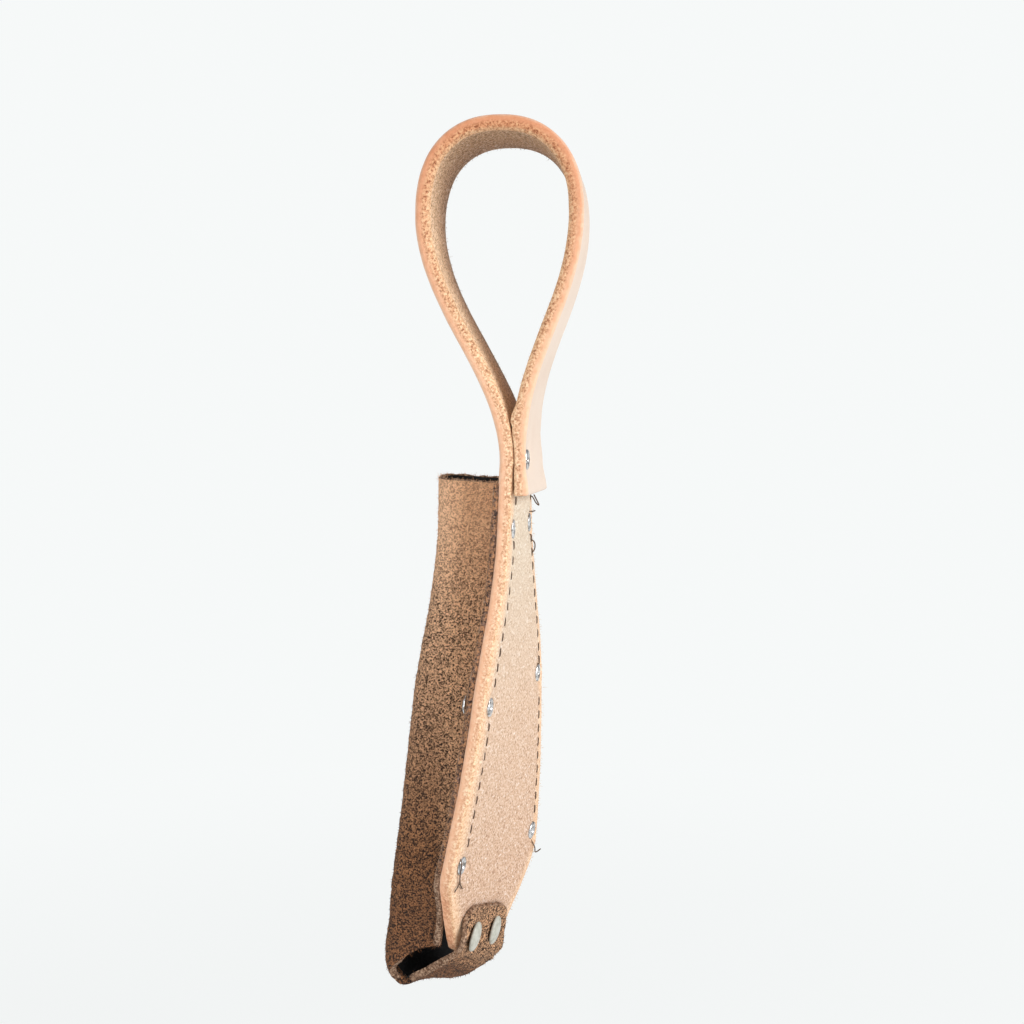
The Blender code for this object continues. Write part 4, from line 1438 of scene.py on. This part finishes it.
def tube(path, radius):
    """Closed tube along a path of points, with narrowed ends."""
    path = np.asarray(path, float)
    ahead = unit(np.gradient(path, axis=0))
    up = np.array(TUBE_UP)
    points = []
    for k, (centre, forward) in enumerate(zip(path, ahead)):
        side = np.cross(forward, up)
        side /= np.linalg.norm(side)
        up = np.cross(side, forward)
        size = radius * (TUBE_END if k in (0, len(path) - 1) else 1.0)
        points += [centre + spoke * size for spoke in circle(side, up, TUBE_SIDES)]
    faces = ring_faces(len(path), TUBE_SIDES)
    faces.append(tuple(range(TUBE_SIDES - 1, -1, -1)))
    faces.append(tuple(range((len(path) - 1) * TUBE_SIDES, len(path) * TUBE_SIDES)))
    return points, faces


def curve_through(points, steps):
    """Smooth path through the given points."""
    p = np.asarray(points, float)
    p = np.concatenate((2 * p[:1] - p[1:2], p, 2 * p[-1:] - p[-2:-1]))
    path = []
    for a, b, c, d in zip(p, p[1:], p[2:], p[3:]):
        for t in np.linspace(0, 1, steps, endpoint=False):
            path.append(0.5 * (2 * b + (c - a) * t + (2 * a - 5 * b + 4 * c - d) * t**2
                               + (3 * b - a - 3 * c + d) * t**3))
    return np.array(path + [p[-2]])


def on_back(x, z, lift):
    return (x, panel_back(z) + lift, z)


def both_halves(profile, half):
    """(height, lift) pairs of a whole stitch, top to bottom, from one half's profile."""
    upper = [(half * share, lift) for share, lift in profile]
    return upper + [(-height, lift) for height, lift in upper[::-1]]


def vary(z, side, amount, length, seed):
    return amount * noise.noise((z / length, side, seed))


def stitch_runs():
    """Stitch heights, broken into runs at the rivets."""
    levels = stitch_levels()
    breaks = np.flatnonzero(-np.diff(levels) > RUN_BREAK) + 1
    return np.split(levels, breaks)


def seam(name, side):
    """Running stitch along one flange: dashes on the panel's back and, between them, on the flange."""
    paths = []
    for heights in stitch_runs():
        line = []
        for k, z in enumerate(heights):
            x = seam_x(z, side) + side * vary(z, side, *STITCH_SWAY)
            half = STITCH / 2 * (1 + vary(z, side, *STITCH_VARY))
            line += [on_back(x, z + up, lift) for up, lift in both_halves(BACK_STITCH, half)]
            if k + 1 < len(heights):
                low = z - STITCH_PITCH / 2
                x = seam_x(low, side)
                front = panel_front(low) - CLEARANCE - SUEDE
                half = (STITCH_PITCH - STITCH) / 2
                line += [(x, front - lift, low + up) for up, lift in both_halves(FRONT_STITCH, half)]
        paths.append((hang(curve_through(line, STITCH_CURVE_STEPS)), THREAD))
    for z, spots in TAILS[side]:
        x = seam_x(z, side)
        tail = [on_back(x + across, z + up, lift) for across, up, lift in spots]
        paths.append((curve_through(hang(tail), TAIL_CURVE_STEPS), TAIL_THREAD))
    points, faces = [], []
    for path, radius in paths:
        more, extra = tube(path, radius)
        faces = joined(faces, extra, len(points))
        points += more
    add_piece(name, points, faces, ("brown_thread",))


# Stage

STUDIO_WHITE = (0.925, 0.945, 0.942)
STUDIO_LIGHT = 0.5
FLOOR_COLOUR = (0.86, 0.875, 0.875)
FLOOR_ROUGHNESS = 0.9
FLOOR_Z = -0.32
FLOOR_HALF = 4.0
# The floor's soft shadow: how white it is under the sheath, and from where to where it fades
SHADOW_WHITE = 0.82
SHADOW_FADE = (0.12, 0.6)
VIEW_TURN = math.radians(18.4)
VIEW_DOWN = math.radians(4.3)
CAMERA_AWAY = 0.412
CAMERA_ASIDE = 0.0019
CAMERA_Z = -0.070
CAMERA_CLIP = 0.01
SENSOR_MM = 36.0
LENS_TO_SENSOR = 1500.0 / 1024.0
LIGHT_AIM = Vector((0.0, 0.0, -0.12))
# Each lamp as the camera sees it: to the right, nearer, up, its size, and its watts
LAMPS = {"key": (0.75, 0.45, 0.35, 0.6, 8.0), "fill": (-0.55, 0.75, 0.15, 0.8, 4.4)}


def pale_floor():
    """Pale floor with a soft shadow near the sheath, fading into the studio's white."""
    g = Graph("pale_floor")
    material = g.done(FLOOR_COLOUR, FLOOR_ROUGHNESS)
    glow = g.node("ShaderNodeEmission", {"Color": STUDIO_WHITE})
    path = g.node("ShaderNodeLightPath", {}).outputs
    rays = {0: path["Is Camera Ray"], 1: path["Is Glossy Ray"]}
    seen = g.node("ShaderNodeMath", rays, operation="MAXIMUM")
    away = g.node("ShaderNodeVectorMath", {0: g.place}, operation="LENGTH")
    fade = g.span(away.outputs["Value"], *SHADOW_FADE, SHADOW_WHITE, 1.0)
    fade.node.interpolation_type = "SMOOTHSTEP"
    share = g.node("ShaderNodeMath", {0: seen.outputs[0], 1: fade}, operation="MULTIPLY")
    shaders = {0: share.outputs[0], 1: g.shader.outputs[0], 2: glow.outputs[0]}
    blend = g.node("ShaderNodeMixShader", shaders)
    put(g.tree, g.tree.nodes["Material Output"].inputs["Surface"], blend.outputs[0])
    return material


def stage():
    half = FLOOR_HALF
    mesh = bpy.data.meshes.new("floor")
    corners = [(-half, -half, 0), (half, -half, 0), (half, half, 0), (-half, half, 0)]
    mesh.from_pydata(corners, [], [(0, 1, 2, 3)])
    mesh.materials.append(pale_floor())
    floor = bpy.data.objects.new("floor", mesh)
    floor.location.z = FLOOR_Z
    bpy.context.scene.collection.objects.link(floor)


def studio():
    """Even light all round, seen by the camera as the studio's white."""
    world = bpy.data.worlds.new("studio")
    bpy.context.scene.world = world
    world.use_nodes = True
    tree = world.node_tree
    light = tree.nodes["Background"]
    put(tree, light.inputs["Color"], WHITE)
    put(tree, light.inputs["Strength"], STUDIO_LIGHT)
    white = add_node(tree, "ShaderNodeBackground", {"Color": STUDIO_WHITE}, {})
    path = add_node(tree, "ShaderNodeLightPath", {}, {})
    shaders = {0: path.outputs["Is Camera Ray"], 1: light.outputs[0], 2: white.outputs[0]}
    blend = add_node(tree, "ShaderNodeMixShader", shaders, {})
    put(tree, tree.nodes["World Output"].inputs["Surface"], blend.outputs[0])


def view_axes():
    """Directions towards the camera and to its right, both level."""
    near = Vector((math.cos(VIEW_TURN), math.sin(VIEW_TURN), 0.0))
    right = Vector((-math.sin(VIEW_TURN), math.cos(VIEW_TURN), 0.0))
    return near, right


def aim(name, data, location, look):
    made = bpy.data.objects.new(name, data)
    made.location = location
    made.rotation_euler = look.to_track_quat("-Z", "Y").to_euler()
    bpy.context.scene.collection.objects.link(made)
    return made


def lamp(name, right, near, up, size, power):
    """Square soft light aimed at the sheath's middle."""
    data = bpy.data.lights.new(name, "AREA")
    data.energy = power
    data.size = size
    towards, aside = view_axes()
    offset = aside * right + towards * near + Vector((0.0, 0.0, up))
    aim(name, data, LIGHT_AIM + offset, -offset)


def camera():
    data = bpy.data.cameras.new("camera")
    data.sensor_width = SENSOR_MM
    data.lens = SENSOR_MM * LENS_TO_SENSOR
    data.clip_start = CAMERA_CLIP
    towards, aside = view_axes()
    location = towards * CAMERA_AWAY + aside * CAMERA_ASIDE + Vector((0.0, 0.0, CAMERA_Z))
    look = -towards * math.cos(VIEW_DOWN) - Vector((0.0, 0.0, math.sin(VIEW_DOWN)))
    bpy.context.scene.camera = aim("camera", data, location, look)


stage()
studio()
camera()
for lamp_name, lamp_values in LAMPS.items():
    lamp(lamp_name, *lamp_values)
bpy.context.scene.view_settings.view_transform = "Standard"

leather_strip()
suede_pouch()
edge_fibres()
seam("seam_right", 1)
seam("seam_left", -1)
fasteners()
